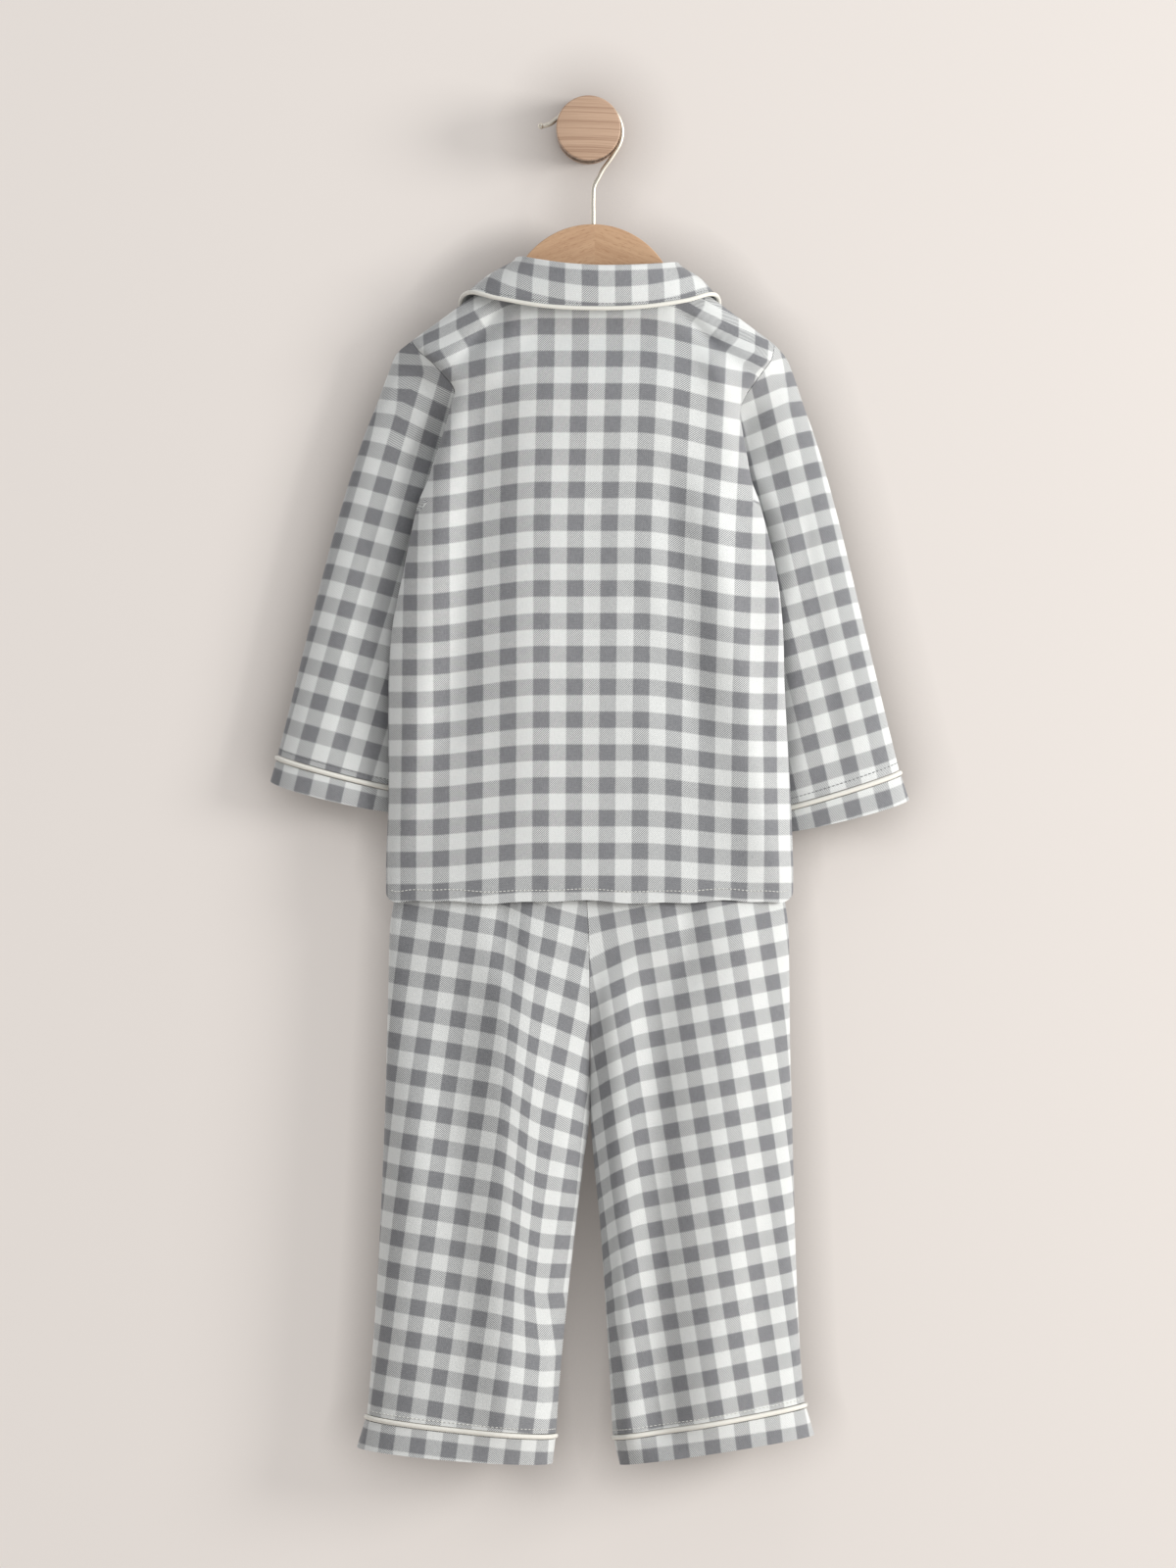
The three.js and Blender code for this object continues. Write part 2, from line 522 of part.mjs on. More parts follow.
function buildSleeve(side) {
  const camera = armholeDowns.map((down) => Math.acos(1 - (2 * down) / UNDERARM_DOWN) / (2 * Math.PI));
  const wall = camera.slice(1).map((around) => 1 - around);
  const arounds = [...camera, 0.5, ...wall.reverse()];
  const downs = [0, 0.06, 0.13, 0.2, 0.28, 0.38, 0.5, 0.64, 0.8, 0.92, 1];
  const flip = isLeft(side);
  const rows = gridOf(downs, arounds, (around, down) => sleevePoint(side, around, down));
  rows[0] = rows[0].map((point, j) => towards(point, rows[1][j], ARMHOLE_GAP));
  rows[0].forEach((point, j) => {
    const low = (1 - Math.cos(2 * Math.PI * arounds[j])) / 2;
    const gap = ARMHOLE_GAP + UNDERARM_GAP * low ** 3;
    point.setX(point.x + (flip ? -gap : gap));
  });
  place(`sleeve_${side}`, clothWall(rows, { round: true, flip }), gingham);

  const bandAt = (around, distance) => {
    const top = sleevePoint(side, around, 1);
    return towards(top, cuffPoint(side, around, 1), distance);
  };
  pipingRound(`piping_cuff_${side}`, (around) => bandAt(around, PIPED_MIDDLE));
  const bottom = arounds.map((around) => cuffPoint(side, around, 1));
  const top = arounds.map((around) => bandAt(around, PIPED_WIDTH));
  place(`cuff_${side}`, clothWall([top, bottom], { round: true, flip, thick: DOUBLE }), gingham);
}

// ---------------------------------------------------------------- trousers

// Half depth of a leg, as a share: a half round seat above the crotch, a whole tube below it.
function legShare(s, z) {
  const tube = smooth((CROTCH_START_Z - z) / (CROTCH_START_Z - CROTCH_Z));
  const dip = SEAT_DIP * smooth((WAIST_TOP_Z - z) / (WAIST_TOP_Z - CROTCH_START_Z));
  const seat = Math.sqrt(1 - (1 - s) ** 2) * (1 - dip * smooth((s - 0.6) / 0.4));
  const ellipse = 2 * Math.sqrt(s * (1 - s));
  return mix(seat, ellipse, tube);
}

// A point of one leg's back or front panel, across from the side seam to the centre seam and inseam.
function legPoint(side, face, across, down) {
  const end = legEnd[side];
  const s = (1 - Math.cos(Math.PI * across)) / 2;
  const bottom = mix(end.outZ, end.inZ, s) - end.sag * Math.sin(Math.PI * across);
  const z = mix(LEG_TOP_Z, bottom, down);
  const inner = read(legRows[side], 'z', 'in', z) + (isLeft(side) ? -SEAM / 2 : SEAM / 2);
  const x = mix(read(legRows[side], 'z', 'out', z), inner, s);
  const depth = read(legRows[side], 'z', 'half', z) * legShare(s, z) + SEAM / 2;
  if (face === 'front') return new THREE.Vector3(x, HANG_Y + LEG_EDGE + depth, z);
  const fold = foldAt(legFolds[side], x, z) * smooth((1 - s) / 0.08) * smooth(s / 0.08);
  return new THREE.Vector3(x, HANG_Y + LEG_EDGE - depth - fold, z);
}

// At the centre seams a wall ends facing straight back or forward; below the crotch, straight sideways.
function legTrim(points) {
  return (normal, i, j) => {
    const { z } = points[i][j];
    if (j === 0) normal.y = 0;
    if (j < points[i].length - 1) return;
    if (Math.abs(z - CROTCH_Z) < 3) normal.set(0, 0, -1);
    else if (z > CROTCH_Z) normal.x = 0;
    else normal.y = 0;
  };
}

function legRing(side, around) {
  const turn = 2 * around;
  return turn <= 1 ? legPoint(side, 'back', turn, 1) : legPoint(side, 'front', 2 - turn, 1);
}

function hemPoint(side, around) {
  const turn = 2 * Math.PI * around;
  const end = hemEnd[side];
  const s = (1 - Math.cos(turn)) / 2;
  const z = mix(end.outZ, end.inZ, s) - end.sag * Math.abs(Math.sin(turn));
  const y = HANG_Y + LEG_EDGE - end.half * Math.sin(turn);
  return new THREE.Vector3(mix(end.out, end.in, s), y, z);
}

function buildLeg(side) {
  const end = legEnd[side];
  const crotch = (CROTCH_Z - LEG_TOP_Z) / (end.inZ - LEG_TOP_Z);
  const downs = [0, 0.08, 0.16, 0.24, 0.33, 0.42, crotch, 0.57, 0.66, 0.75, 0.84, 0.93, 1];
  const backColumns = steps(14);
  const back = gridOf(downs, backColumns, (u, v) => legPoint(side, 'back', u, v));
  const left = isLeft(side);
  place(`trouser_back_${side}`, clothWall(back, { flip: left, trim: legTrim(back) }), gingham);
  const front = gridOf(downs, steps(7), (u, v) => legPoint(side, 'front', u, v));
  place(`trouser_front_${side}`, clothWall(front, { flip: !left, trim: legTrim(front) }), gingham);

  const arounds = ringSteps(20);
  const bandAt = (around, distance) => towards(legRing(side, around), hemPoint(side, around), distance);
  pipingRound(`piping_hem_${side}`, (around) => bandAt(around, PIPED_MIDDLE));
  const bottom = arounds.map((around) => hemPoint(side, around));
  const top = arounds.map((around) => bandAt(around, PIPED_WIDTH));
  place(`hem_band_${side}`, clothWall([top, bottom], { round: true, flip: left, thick: DOUBLE }), gingham);
}

// The elastic waistband goes round both legs' top edges.
function buildWaistband() {
  const half = steps(8).slice(1, -1);
  const round = [
    legPoint('l', 'back', 0, 0),
    ...half.map((u) => legPoint('l', 'back', u, 0)),
    ...[...half].reverse().map((u) => legPoint('r', 'back', u, 0)),
    legPoint('r', 'back', 0, 0),
    ...half.map((u) => legPoint('r', 'front', u, 0)),
    ...[...half].reverse().map((u) => legPoint('l', 'front', u, 0)),
  ];
  const top = round.map((p) => new THREE.Vector3(p.x, p.y, WAIST_TOP_Z));
  const bottom = round.map((p) => new THREE.Vector3(p.x, p.y, LEG_TOP_Z + SEAM));
  place('waistband', clothWall([top, bottom], { round: true, flip: true, thick: ELASTIC }), gingham);
}

// ---------------------------------------------------------------- collar and buttons

function collarAt(turn) {
  const get = (column) => read(collarRows, 'turn', column, turn);
  const roll = new THREE.Vector3(get('rollX'), HANG_Y + get('rollY'), get('rollZ'));
  const edge = new THREE.Vector3(get('edgeX'), HANG_Y + get('edgeY'), get('edgeZ'));
  return { roll, edge };
}

// The collar's section: up the stand from the neck seam, over the roll, and down the fall to its edge.
function collarPoint(turn, along) {
  const angle = (turn * Math.PI) / 180;
  const neck = turn * turn < 90 * 90 ? NECK_BACK : NECK_FRONT;
  const x = mix(NECK_L.x, NECK_R.x, (1 + Math.sin(angle)) / 2);
  const seat = topEdge(x, neck);
  const seam = new THREE.Vector3(x, HANG_Y - Math.cos(angle) * neck.deep, seat.z + COLLAR_LIFT);
  const { roll, edge } = collarAt(turn);
  const out = new THREE.Vector3(Math.sin(angle), -Math.cos(angle), 0);
  const chest = new THREE.Vector3(0, CHEST_LIFT * smooth((Math.abs(turn) - 85) / 30), 0);
  const section = [
    seam.clone().addScaledVector(out, -0.6),
    seam.clone().lerp(roll, 0.55).addScaledVector(out, -ROLL_INSIDE),
    roll.clone().addScaledVector(out, -ROLL_INSIDE).setZ(roll.z - ROLL_INSIDE),
    roll,
    roll.clone().addScaledVector(out, ROLL_OUTSIDE).setZ(roll.z - ROLL_OUTSIDE).addScaledVector(chest, 0.5),
    roll.clone().lerp(edge, 0.5).addScaledVector(out, ROLL_OUTSIDE).add(chest),
    edge,
  ];
  return section[along];
}

function buildCollar() {
  const half = [12, 24, 36, 48, 60, 72, 82, 90, 97, 104, 112, 120, 129, 138, 148, 158];
  const turns = [...half.map((turn) => -turn).reverse(), 0, ...half];
  const grid = gridOf([0, 1, 2, 3, 4, 5, 6], turns, collarPoint);
  place('collar', clothWall(grid, { thick: DOUBLE, flip: true }), gingham);
  const edge = turns.map((turn) => {
    const along = collarPoint(turn, 6);
    return towards(along, collarPoint(turn, 5), -PIPED_MIDDLE - 0.8);
  });
  place('piping_collar', pipingAlong(edge, 52), pipingCotton);
}

function buildButtons() {
  const { r, thick, rim } = BUTTON;
  const profile = [
    [0, 0], [r - 0.6, 0], [r, 0.6], [r, thick - 0.4], [r - 0.4, thick], [r - rim, thick],
    [r - rim - 0.6, thick - 0.7], [0, thick - 0.7],
  ].map(([x, y]) => new THREE.Vector2(x, y));
  buttonRows.forEach(({ z }, i) => {
    const neckZ = NECK_L.z - NECK_FRONT.drop;
    const down = (z - neckZ) / (TOP_HEM_Z - neckZ);
    const near = [down - 0.015, down, down + 0.015].map((place) => frontLeftPoint(0.5, place));
    const seatY = Math.max(...near.map((point) => point.y));
    const button = place(`button_${i + 1}`, new THREE.LatheGeometry(profile, 20), shell);
    button.position.set(near[1].x, seatY + SEAM, near[1].z);
  });
}

// ---------------------------------------------------------------- hanger and peg

async function withBore(geometry, bore) {
  const solids = [geometry, bore].map((shape) => {
    const bare = shape.clone();
    bare.deleteAttribute('normal');
    bare.deleteAttribute('uv');
    const merged = mergeVertices(bare, 1e-3);
    const vertProperties = new Float32Array(merged.attributes.position.array);
    const triVerts = new Uint32Array(merged.index.array);
    return new wasm.Manifold(new wasm.Mesh({ numProp: 3, vertProperties, triVerts }));
  });
  const cut = solids[0].subtract(solids[1]).getMesh();
  const result = new THREE.BufferGeometry();
  result.setAttribute('position', new THREE.BufferAttribute(cut.vertProperties, 3));
  result.setIndex(new THREE.BufferAttribute(cut.triVerts, 1));
  result.computeVertexNormals();
  return result;
}

// The wooden bar: a round hump with two straight arms that slope down inside the shoulders.
async function buildHangerBar() {
  const humpZ = (x) => HUMP.z + Math.sqrt(HUMP.r ** 2 - (x - HUMP.x) ** 2);
  const outline = new THREE.Shape();
  const start = Math.atan2(humpZ(BAR_NECK_L) - HUMP.z, BAR_NECK_L - HUMP.x);
  const stop = Math.atan2(humpZ(BAR_NECK_R) - HUMP.z, BAR_NECK_R - HUMP.x);
  const low = BAR_ARM_HIGH;
  outline.moveTo(BAR_ARM_L.x, BAR_ARM_L.z);
  outline.lineTo(BAR_NECK_L, humpZ(BAR_NECK_L));
  outline.absarc(HUMP.x, HUMP.z, HUMP.r, start, stop, true);
  outline.lineTo(BAR_ARM_R.x, BAR_ARM_R.z);
  outline.lineTo(BAR_ARM_R.x + 2, BAR_ARM_R.z - low / 2);
  outline.lineTo(BAR_ARM_R.x - 6, BAR_ARM_R.z - low);
  outline.quadraticCurveTo(HUMP.x, BAR_UNDER_Z, BAR_ARM_L.x + 6, BAR_ARM_L.z - low);
  outline.lineTo(BAR_ARM_L.x - 2, BAR_ARM_L.z - low / 2);
  outline.closePath();
  const bar = new THREE.ExtrudeGeometry(outline, {
    depth: 2 * (BAR_HALF_THICK - BAR_BEVEL),
    bevelThickness: BAR_BEVEL,
    bevelSize: BAR_BEVEL,
    bevelOffset: -BAR_BEVEL,
    bevelSegments: 2,
    curveSegments: 16,
  });
  bar.translate(0, 0, BAR_BEVEL - BAR_HALF_THICK);
  const bore = new THREE.CylinderGeometry(WIRE_R + BORE_CLEARANCE, WIRE_R + BORE_CLEARANCE, 2 * BORE_DEEP, 12);
  bore.translate(STEM_X, HUMP.z + HUMP.r, 0);
  const mesh = place('hanger_bar', await withBore(bar, bore), beech);
  mesh.rotation.x = Math.PI / 2;
  mesh.position.y = HANG_Y;
}

// The wire: up from the bar, out to the right, over the peg and out into a short flared tip.
function buildHook() {
  const at = (x, z) => new THREE.Vector3(x, HANG_Y, z);
  const stem = [at(STEM_X, STEM_FOOT_Z), at(STEM_X, -56), at(STEM_X, -44), at(STEM_X + 0.6, -37.5)];
  const bend = [at(STEM_X + 3.6, -31.5), at(9.6, -26.2), at(14, -20.2)];
  const arc = steps(12).map((t) => {
    const angle = THREE.MathUtils.degToRad(mix(-32, 152, t));
    return at(HOOK.x + HOOK.r * Math.cos(angle), HOOK.z + HOOK.r * Math.sin(angle));
  });
  const tip = [at(-21.4, 5.2), at(-24.6, 2.8), at(-28, 1.9), at(-31, 1.3)];
  const extrudePath = new THREE.CatmullRomCurve3([...stem, ...bend, ...arc, ...tip]);
  const section = new THREE.Shape();
  section.absarc(0, 0, WIRE_R, 0, 2 * Math.PI, false);
  const options = { steps: 64, curveSegments: 5, extrudePath, bevelEnabled: false };
  place('hanger_hook', new THREE.ExtrudeGeometry(section, options), steel);
}

// The turned peg: a plain neck from the wall to a round disc.
function buildPeg() {
  const front = PEG_NECK_LONG + PEG_DISC_THICK;
  const profile = [
    [0, 0], [PEG_NECK_R, 0], [PEG_NECK_R, PEG_NECK_LONG], [PEG_DISC_R - PEG_EDGE, PEG_NECK_LONG],
    [PEG_DISC_R, PEG_NECK_LONG + PEG_EDGE], [PEG_DISC_R, front - PEG_EDGE],
    [PEG_DISC_R - PEG_EDGE, front], [0, front],
  ].map(([x, y]) => new THREE.Vector2(x, y));
  const peg = place('peg', new THREE.LatheGeometry(profile, 48), pegBeech);
  peg.rotation.x = Math.PI;
}

buildPeg();
buildHook();
await buildHangerBar();
buildTop();
buildCollar();
buildButtons();
buildWaistband();
for (const side of ['l', 'r']) {
  buildSleeve(side);
  buildLeg(side);
}

export default group;
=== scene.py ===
import math
import bpy
import numpy as np
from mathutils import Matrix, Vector


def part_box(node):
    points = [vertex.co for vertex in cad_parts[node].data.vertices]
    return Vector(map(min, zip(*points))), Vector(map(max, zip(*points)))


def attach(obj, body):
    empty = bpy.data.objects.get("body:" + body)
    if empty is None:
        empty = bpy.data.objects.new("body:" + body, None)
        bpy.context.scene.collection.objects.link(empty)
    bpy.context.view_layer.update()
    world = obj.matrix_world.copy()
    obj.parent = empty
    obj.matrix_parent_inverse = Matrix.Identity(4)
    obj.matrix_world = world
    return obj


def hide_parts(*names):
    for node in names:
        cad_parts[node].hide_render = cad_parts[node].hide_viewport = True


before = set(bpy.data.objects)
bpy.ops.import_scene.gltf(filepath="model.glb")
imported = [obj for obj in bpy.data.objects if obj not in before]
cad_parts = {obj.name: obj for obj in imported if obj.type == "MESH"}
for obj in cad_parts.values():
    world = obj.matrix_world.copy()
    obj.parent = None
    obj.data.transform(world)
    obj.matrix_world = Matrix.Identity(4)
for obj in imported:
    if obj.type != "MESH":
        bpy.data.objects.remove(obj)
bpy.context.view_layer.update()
bpy.ops.object.select_all(action="DESELECT")

# A toddler's gingham pyjama set, seen from the back, on a wooden hanger over a turned wall peg.
# Cutting sizes are in millimetres and are made metres when a piece is made. "l" is the wearer's left, at -X.

MM = 0.001
BODY = "root"
HANG_Y = -36.0  # plane of the hook, the hanger and the shoulder seams
CLOTH = 1.2
DOUBLE = 1.6
ELASTIC = 2.6
SEAM = 0.3
PIPING_R = 1.8
REPEAT = 21.5  # one grey and one white band of the gingham

TIP_L, TIP_R = (-115.8, -138.6), (121.5, -141.0)
NECK_L, NECK_R = (-54.0, -93.4), (57.0, -92.6)
NECK_BACK = (20.0, 15.0)  # how deep and how low the neckline is
NECK_FRONT = (22.0, 42.0)
FALL_BACK, FALL_FRONT = 5.0, 9.0
TOP_HEM_Z, TOP_HEM_LIFT, TOP_HEM_ROUND = -505.5, 14.5, 24
BACK_FLATTER = 4.0
UNDERARM_Z, UNDERARM_DOWN = -245.0, 0.302
PLACKET_X, PLACKET_TURN = 2.0, 0.027
LAP_LIFT = CLOTH + SEAM + 0.4
SEAM_TURN = SEAM / 44
SLEEVE_HEAD = 0.34
SLEEVE_SAG, CUFF_SAG = 2.0, 4.0
WAIST_TOP_Z, LEG_TOP_Z, CROTCH_Z, CROTCH_START_Z = -412.0, -440.0, -645.0, -560.0
LEG_EDGE = -5.0
SEAT_DIP = 0.2
CORD_R = 1.4  # the piping as it is seen, pressed between two edges
PIPED_MIDDLE = PIPING_R + SEAM
PIPED_WIDTH = 2 * PIPED_MIDDLE


# ------------------------------------------------------------------ tables

def mix(a, b, t):
    return a + (b - a) * t


def smooth(t):
    t = np.clip(t, 0.0, 1.0)
    return t * t * (3 - 2 * t)


class Table:
    """Rows with named columns, read as smooth curves along the first column."""

    def __init__(self, names, *rows):
        self.names = names.split()
        data = np.array(rows, dtype=float)
        self.data = data[np.argsort(data[:, 0])]

    def at(self, column, where):
        keys, values = self.data[:, 0], self.data[:, self.names.index(column)]
        where = np.clip(where, keys[0], keys[-1])
        i = np.clip(np.searchsorted(keys, where) - 1, 0, len(keys) - 2)
        last = len(keys) - 1
        before, after = np.maximum(np.arange(last + 1) - 1, 0), np.minimum(np.arange(last + 1) + 1, last)
        slope = (values[after] - values[before]) / (keys[after] - keys[before])
        span = keys[i + 1] - keys[i]
        t = (where - keys[i]) / span
        bend = (t - 2 * t**2 + t**3) * slope[i] + (t**3 - t**2) * slope[i + 1]
        return mix(values[i], values[i + 1], t * t * (3 - 2 * t)) + span * bend


SIDES = Table(
    "z left right edge wrap armhole half",
    (-138.6, -115.8, 122, 0, 0.0, 0, 20),
    (-145, -111, 121, -4, 0.0, 9, 20),
    (-152, -103, 119, -6.5, 0.0, 15, 20.5),
    (-160, -95.7, 113, -8, 0.0, 18, 21),
    (-170, -88, 106, -9, 0.06, 19, 22),
    (-182, -90.5, 99.5, -9, 0.3, 17, 22),
    (-198, -94.6, 100.8, -8.5, 0.42, 13, 22),
    (-215, -100.5, 104, -7.5, 0.42, 9.5, 22),
    (-230, -105.2, 106.8, -6.5, 0.38, 5.5, 22),
    (-245, -111.5, 112.2, -6, 0.33, 0, 22),
    (-288, -120.8, 122.8, -6, 0.3, 0, 22),
    (-326, -128.3, 127.2, -6, 0.3, 0, 22),
    (-365, -130.9, 128.4, -6, 0.3, 0, 22),
    (-440, -130.9, 132.4, -6, 0.3, 0, 22.5),
    (-480, -132.4, 133.9, -6, 0.3, 0, 24),
    (-506, -132.4, 133.9, -6, 0.3, 0, 24.5),
)

SLEEVES = {
    "l": Table(
        "down out_x out_z in_x in_z y half",
        (0, TIP_L[0], TIP_L[1], -106, -245, 1, 3),
        (0.06, -125.5, -146.5, -112, -256, 9, 6),
        (0.13, -131, -159, -113.5, -268, 11, 8),
        (0.22, -138.5, -179, -114, -282, 11.5, 9.5),
        (0.34, -149, -206, -114, -301, 11.5, 10.5),
        (0.52, -164.5, -256, -117, -333, 11.5, 11.5),
        (0.7, -181.5, -320, -120, -369, 11.5, 12),
        (0.88, -196.5, -381, -121.5, -407, 12, 13),
        (1, -203.6, -409, -122, -430, 12.5, 13.5),
    ),
    "r": Table(
        "down out_x out_z in_x in_z y half",
        (0, TIP_R[0], TIP_R[1], 106, -245, 1, 3),
        (0.06, 129, -149, 113, -256, 9, 6),
        (0.13, 134, -160, 114, -268, 11, 8),
        (0.22, 140.5, -179, 115, -282, 11.5, 9.5),
        (0.34, 150, -206, 115, -301, 11.5, 10.5),
        (0.52, 163.5, -254, 118, -336, 11.5, 11.5),
        (0.7, 179, -318, 121, -374, 11.5, 12),
        (0.88, 195, -384, 122.5, -417, 12, 13),
        (1, 203.6, -419, 123, -443.5, 12.5, 13.5),
    ),
}
CUFF_ENDS = {  # outer x and z, inner x and z, middle, half depth
    "l": (-208.6, -426.6, -122.5, -446.5, 12.5, 14.0),
    "r": (210.2, -438.5, 123.5, -459.5, 12.5, 14.0),
}
LEGS = {
    "l": Table(
        "z out in half",
        (-440, -110, 0, 17.7), (-470, -121, -0.5, 17), (-505, -127.2, -1, 17), (-523, -129.9, 0, 19),
        (-560, -130.9, 0.8, 20), (-603, -132, 1, 20.5), (-645, -133.2, 1, 21), (-675, -134.4, -3, 21.5),
        (-716, -136.2, -8, 22), (-761, -138.6, -13.1, 22), (-813, -142.4, -18.2, 22), (-853, -146, -21, 22),
    ),
    "r": Table(
        "z out in half",
        (-440, 111, 0, 17.7), (-470, 122, -0.5, 17), (-505, 128.4, -1, 17), (-523, 130.8, 0, 19),
        (-560, 131.5, 0.8, 20), (-603, 132, 1, 20.5), (-645, 133.2, 1, 21), (-675, 134, 3.4, 21.5),
        (-716, 135, 7.4, 22), (-761, 136.6, 10.6, 22), (-813, 139.4, 13.6, 22), (-853, 143.6, 15.6, 22),
    ),
}
LEG_ENDS = {"l": (-840.0, -852.5, 2.5), "r": (-832.5, -853.5, 1.5)}  # outer z, inner z, sag
HEM_ENDS = {  # outer x and z, inner x and z, sag
    "l": (-151.5, -862.0, -23.4, -872.5, 3.0),
    "r": (147.8, -854.0, 20.4, -873.5, 1.5),
}
HEM_HALF = 23.0

COLLAR = Table(
    "turn roll_x roll_y roll_z edge_x edge_y edge_z",
    (-158, -17, 23, -121, -20, 30, -139),
    (-138, -33, 19, -110, -48, 29, -160),
    (-112, -46, 11, -91, -72, 24, -138),
    (-101, -47.2, 5.5, -86.5, -80.5, 17.5, -121),
    (-90, -47.5, 0, -84, -82.5, 6, -111),
    (-72, -43, -8, -83.5, -76, -10, -106),
    (-48, -33, -16, -85.5, -58, -20, -110),
    (-24, -14, -22, -88.3, -28, -25.5, -115),
    (0, 7, -24, -89.6, 3, -27, -116.5),
    (24, 28, -22, -89.3, 34, -25.5, -115.5),
    (48, 45, -16, -88.3, 62, -20, -111.5),
    (72, 56, -8, -87.2, 79, -10, -107),
    (90, 59, 0, -87.5, 84.5, 6, -110.5),
    (101, 56, 5.5, -89, 83.5, 17.5, -121),
    (112, 51, 11, -92, 77, 24, -138),
    (138, 36.5, 19, -110, 56, 29, -160),
    (158, 21, 23, -121, 27, 30, -139),
)
COLLAR_LIFT, CHEST_LIFT, ROLL_INSIDE, ROLL_OUTSIDE = 1.1, 6.0, 1.5, 2.6

# Folds: a crest, or with a negative rise a trough, from one place to another, with the reach of each flank.
FOLD_NAMES = ("x0", "z0", "x1", "z1", "left", "right", "rise", "fade")
BACK_FOLDS = (
    (-68, -168, -91, -400, 13, 18, -4.6, 60),
    (-98, -230, -120, -470, 12, 12, 2.2, 60),
    (-36, -220, -38, -470, 20, 24, 2.2, 90),
    (54, -225, 70, -395, 13, 13, -3.2, 50),
    (78, -235, 119, -490, 21, 13, 6.0, 60),
    (86, -150, 92, -230, 12, 10, 2.2, 40),
    (-57, -116, -86, -154, 5, 9, -3.4, 14),
    (-46, -128, -70, -168, 10, 10, 1.8, 20),
    (60, -120, 84, -144, 6, 7, -3.6, 10),
    (78, -150, 90, -172, 7, 7, 1.8, 14),
    (84, -142, 108, -162, 8, 8, -2.0, 14),
    (30, -300, 52, -390, 12, 12, -1.2, 40),
)
LEG_FOLDS = {
    "l": (
        (-50, -545, -54, -860, 16, 32, 6.5, 90),
        (-86, -570, -88, -850, 20, 13, -2.4, 80),
        (-56, -490, -52, -560, 9, 10, -3.0, 30),
        (-88, -540, -97, -700, 16, 18, -1.6, 60),
        (-14, -640, -24, -835, 8, 8, 1.8, 60),
        (-112, -620, -118, -800, 14, 14, 1.4, 60),
    ),
    "r": (
        (16, -560, 24, -860, 10, 12, 4.5, 40),
        (44, -540, 48, -860, 14, 16, -5.0, 50),
        (66, -490, 60, -560, 9, 10, -2.6, 30),
        (96, -510, 80, -860, 22, 20, 5.0, 50),
        (112, -680, 118, -820, 12, 12, -2.2, 50),
        (60, -600, 58, -760, 12, 12, 1.4, 50),
    ),
}
SLEEVE_FOLDS = {  # across the camera side from the outer edge, 0 to 1, and down the sleeve
    "l": ((0.86, 0.06, 0.93, 0.5, 0.07, 0.08, -3.2, 0.1), (0.66, 0.1, 0.6, 0.5, 0.1, 0.12, 1.6, 0.12),
          (0.4, 0.45, 0.5, 0.95, 0.1, 0.1, -1.2, 0.15), (0.75, 0.55, 0.78, 0.98, 0.1, 0.1, 1.4, 0.15)),
    "r": ((0.84, 0.06, 0.9, 0.5, 0.07, 0.08, -3.0, 0.1), (0.62, 0.1, 0.6, 0.5, 0.1, 0.12, 1.8, 0.12),
          (0.36, 0.4, 0.46, 0.95, 0.1, 0.1, -1.4, 0.15), (0.74, 0.5, 0.8, 0.98, 0.1, 0.1, 1.4, 0.15)),
}


def folds_at(folds, x, z):
    total = np.zeros(np.broadcast(x, z).shape)
    for row in folds:
        f = dict(zip(FOLD_NAMES, row))
        way = np.sign(f["z1"] - f["z0"])
        middle = f["x0"] + (f["x1"] - f["x0"]) * (z - f["z0"]) / (f["z1"] - f["z0"])
        off = x - middle
        reach = np.where(off < 0, f["left"], f["right"])
        ends = smooth((z - f["z0"]) * way / f["fade"] + 0.5) * smooth((f["z1"] - z) * way / f["fade"] + 0.5)
        total = total + f["rise"] * np.exp(-((off / reach) ** 2)) * ends
    return total


def softness(x, z, seed=0.0):
    """The slight unevenness of soft cotton, in millimetres."""
    a = np.sin(x / 17.0 + z / 41.0 + seed) * np.sin(z / 29.0 - x / 53.0 + 1.7 * seed)
    b = np.sin(x / 8.3 - z / 15.0 + 2.1 * seed) * np.sin(z / 11.0 + x / 23.0 + seed)
    return 0.42 * a + 0.16 * b


# ------------------------------------------------------------------ the forms

def top_edge(x, neck):
    deep, drop = neck
    on_left, on_right = x <= NECK_L[0], x >= NECK_R[0]
    left = mix(TIP_L[1], NECK_L[1], (x - TIP_L[0]) / (NECK_L[0] - TIP_L[0]))
    right = mix(NECK_R[1], TIP_R[1], (x - NECK_R[0]) / (TIP_R[0] - NECK_R[0]))
    t = (x - NECK_L[0]) / (NECK_R[0] - NECK_L[0])
    bow = np.clip(1 - (2 * t - 1) ** 2, 0, 1)
    z = np.where(on_left, left, np.where(on_right, right, mix(NECK_L[1], NECK_R[1], t) - drop * bow))
    return z, np.where(on_left | on_right, 0.0, deep * np.sqrt(bow))


def top_hem_z(turn):
    return TOP_HEM_Z + TOP_HEM_LIFT * np.abs(np.cos(turn)) ** TOP_HEM_ROUND


def fall_from(drop, fall):
    return 1 - np.exp(-np.sqrt(np.maximum(0, drop) / fall))


def body_half(z, turn):
    return SIDES.at("half", z) - BACK_FLATTER * np.sin(turn)


def sides(z):
    left, right = SIDES.at("left", z), SIDES.at("right", z)
    return (left + right) / 2, (right - left) / 2


def points_of(x, y, z):
    x, y, z = np.broadcast_arrays(x, y, z)
    return np.stack([x, y, z], axis=-1).astype(float)


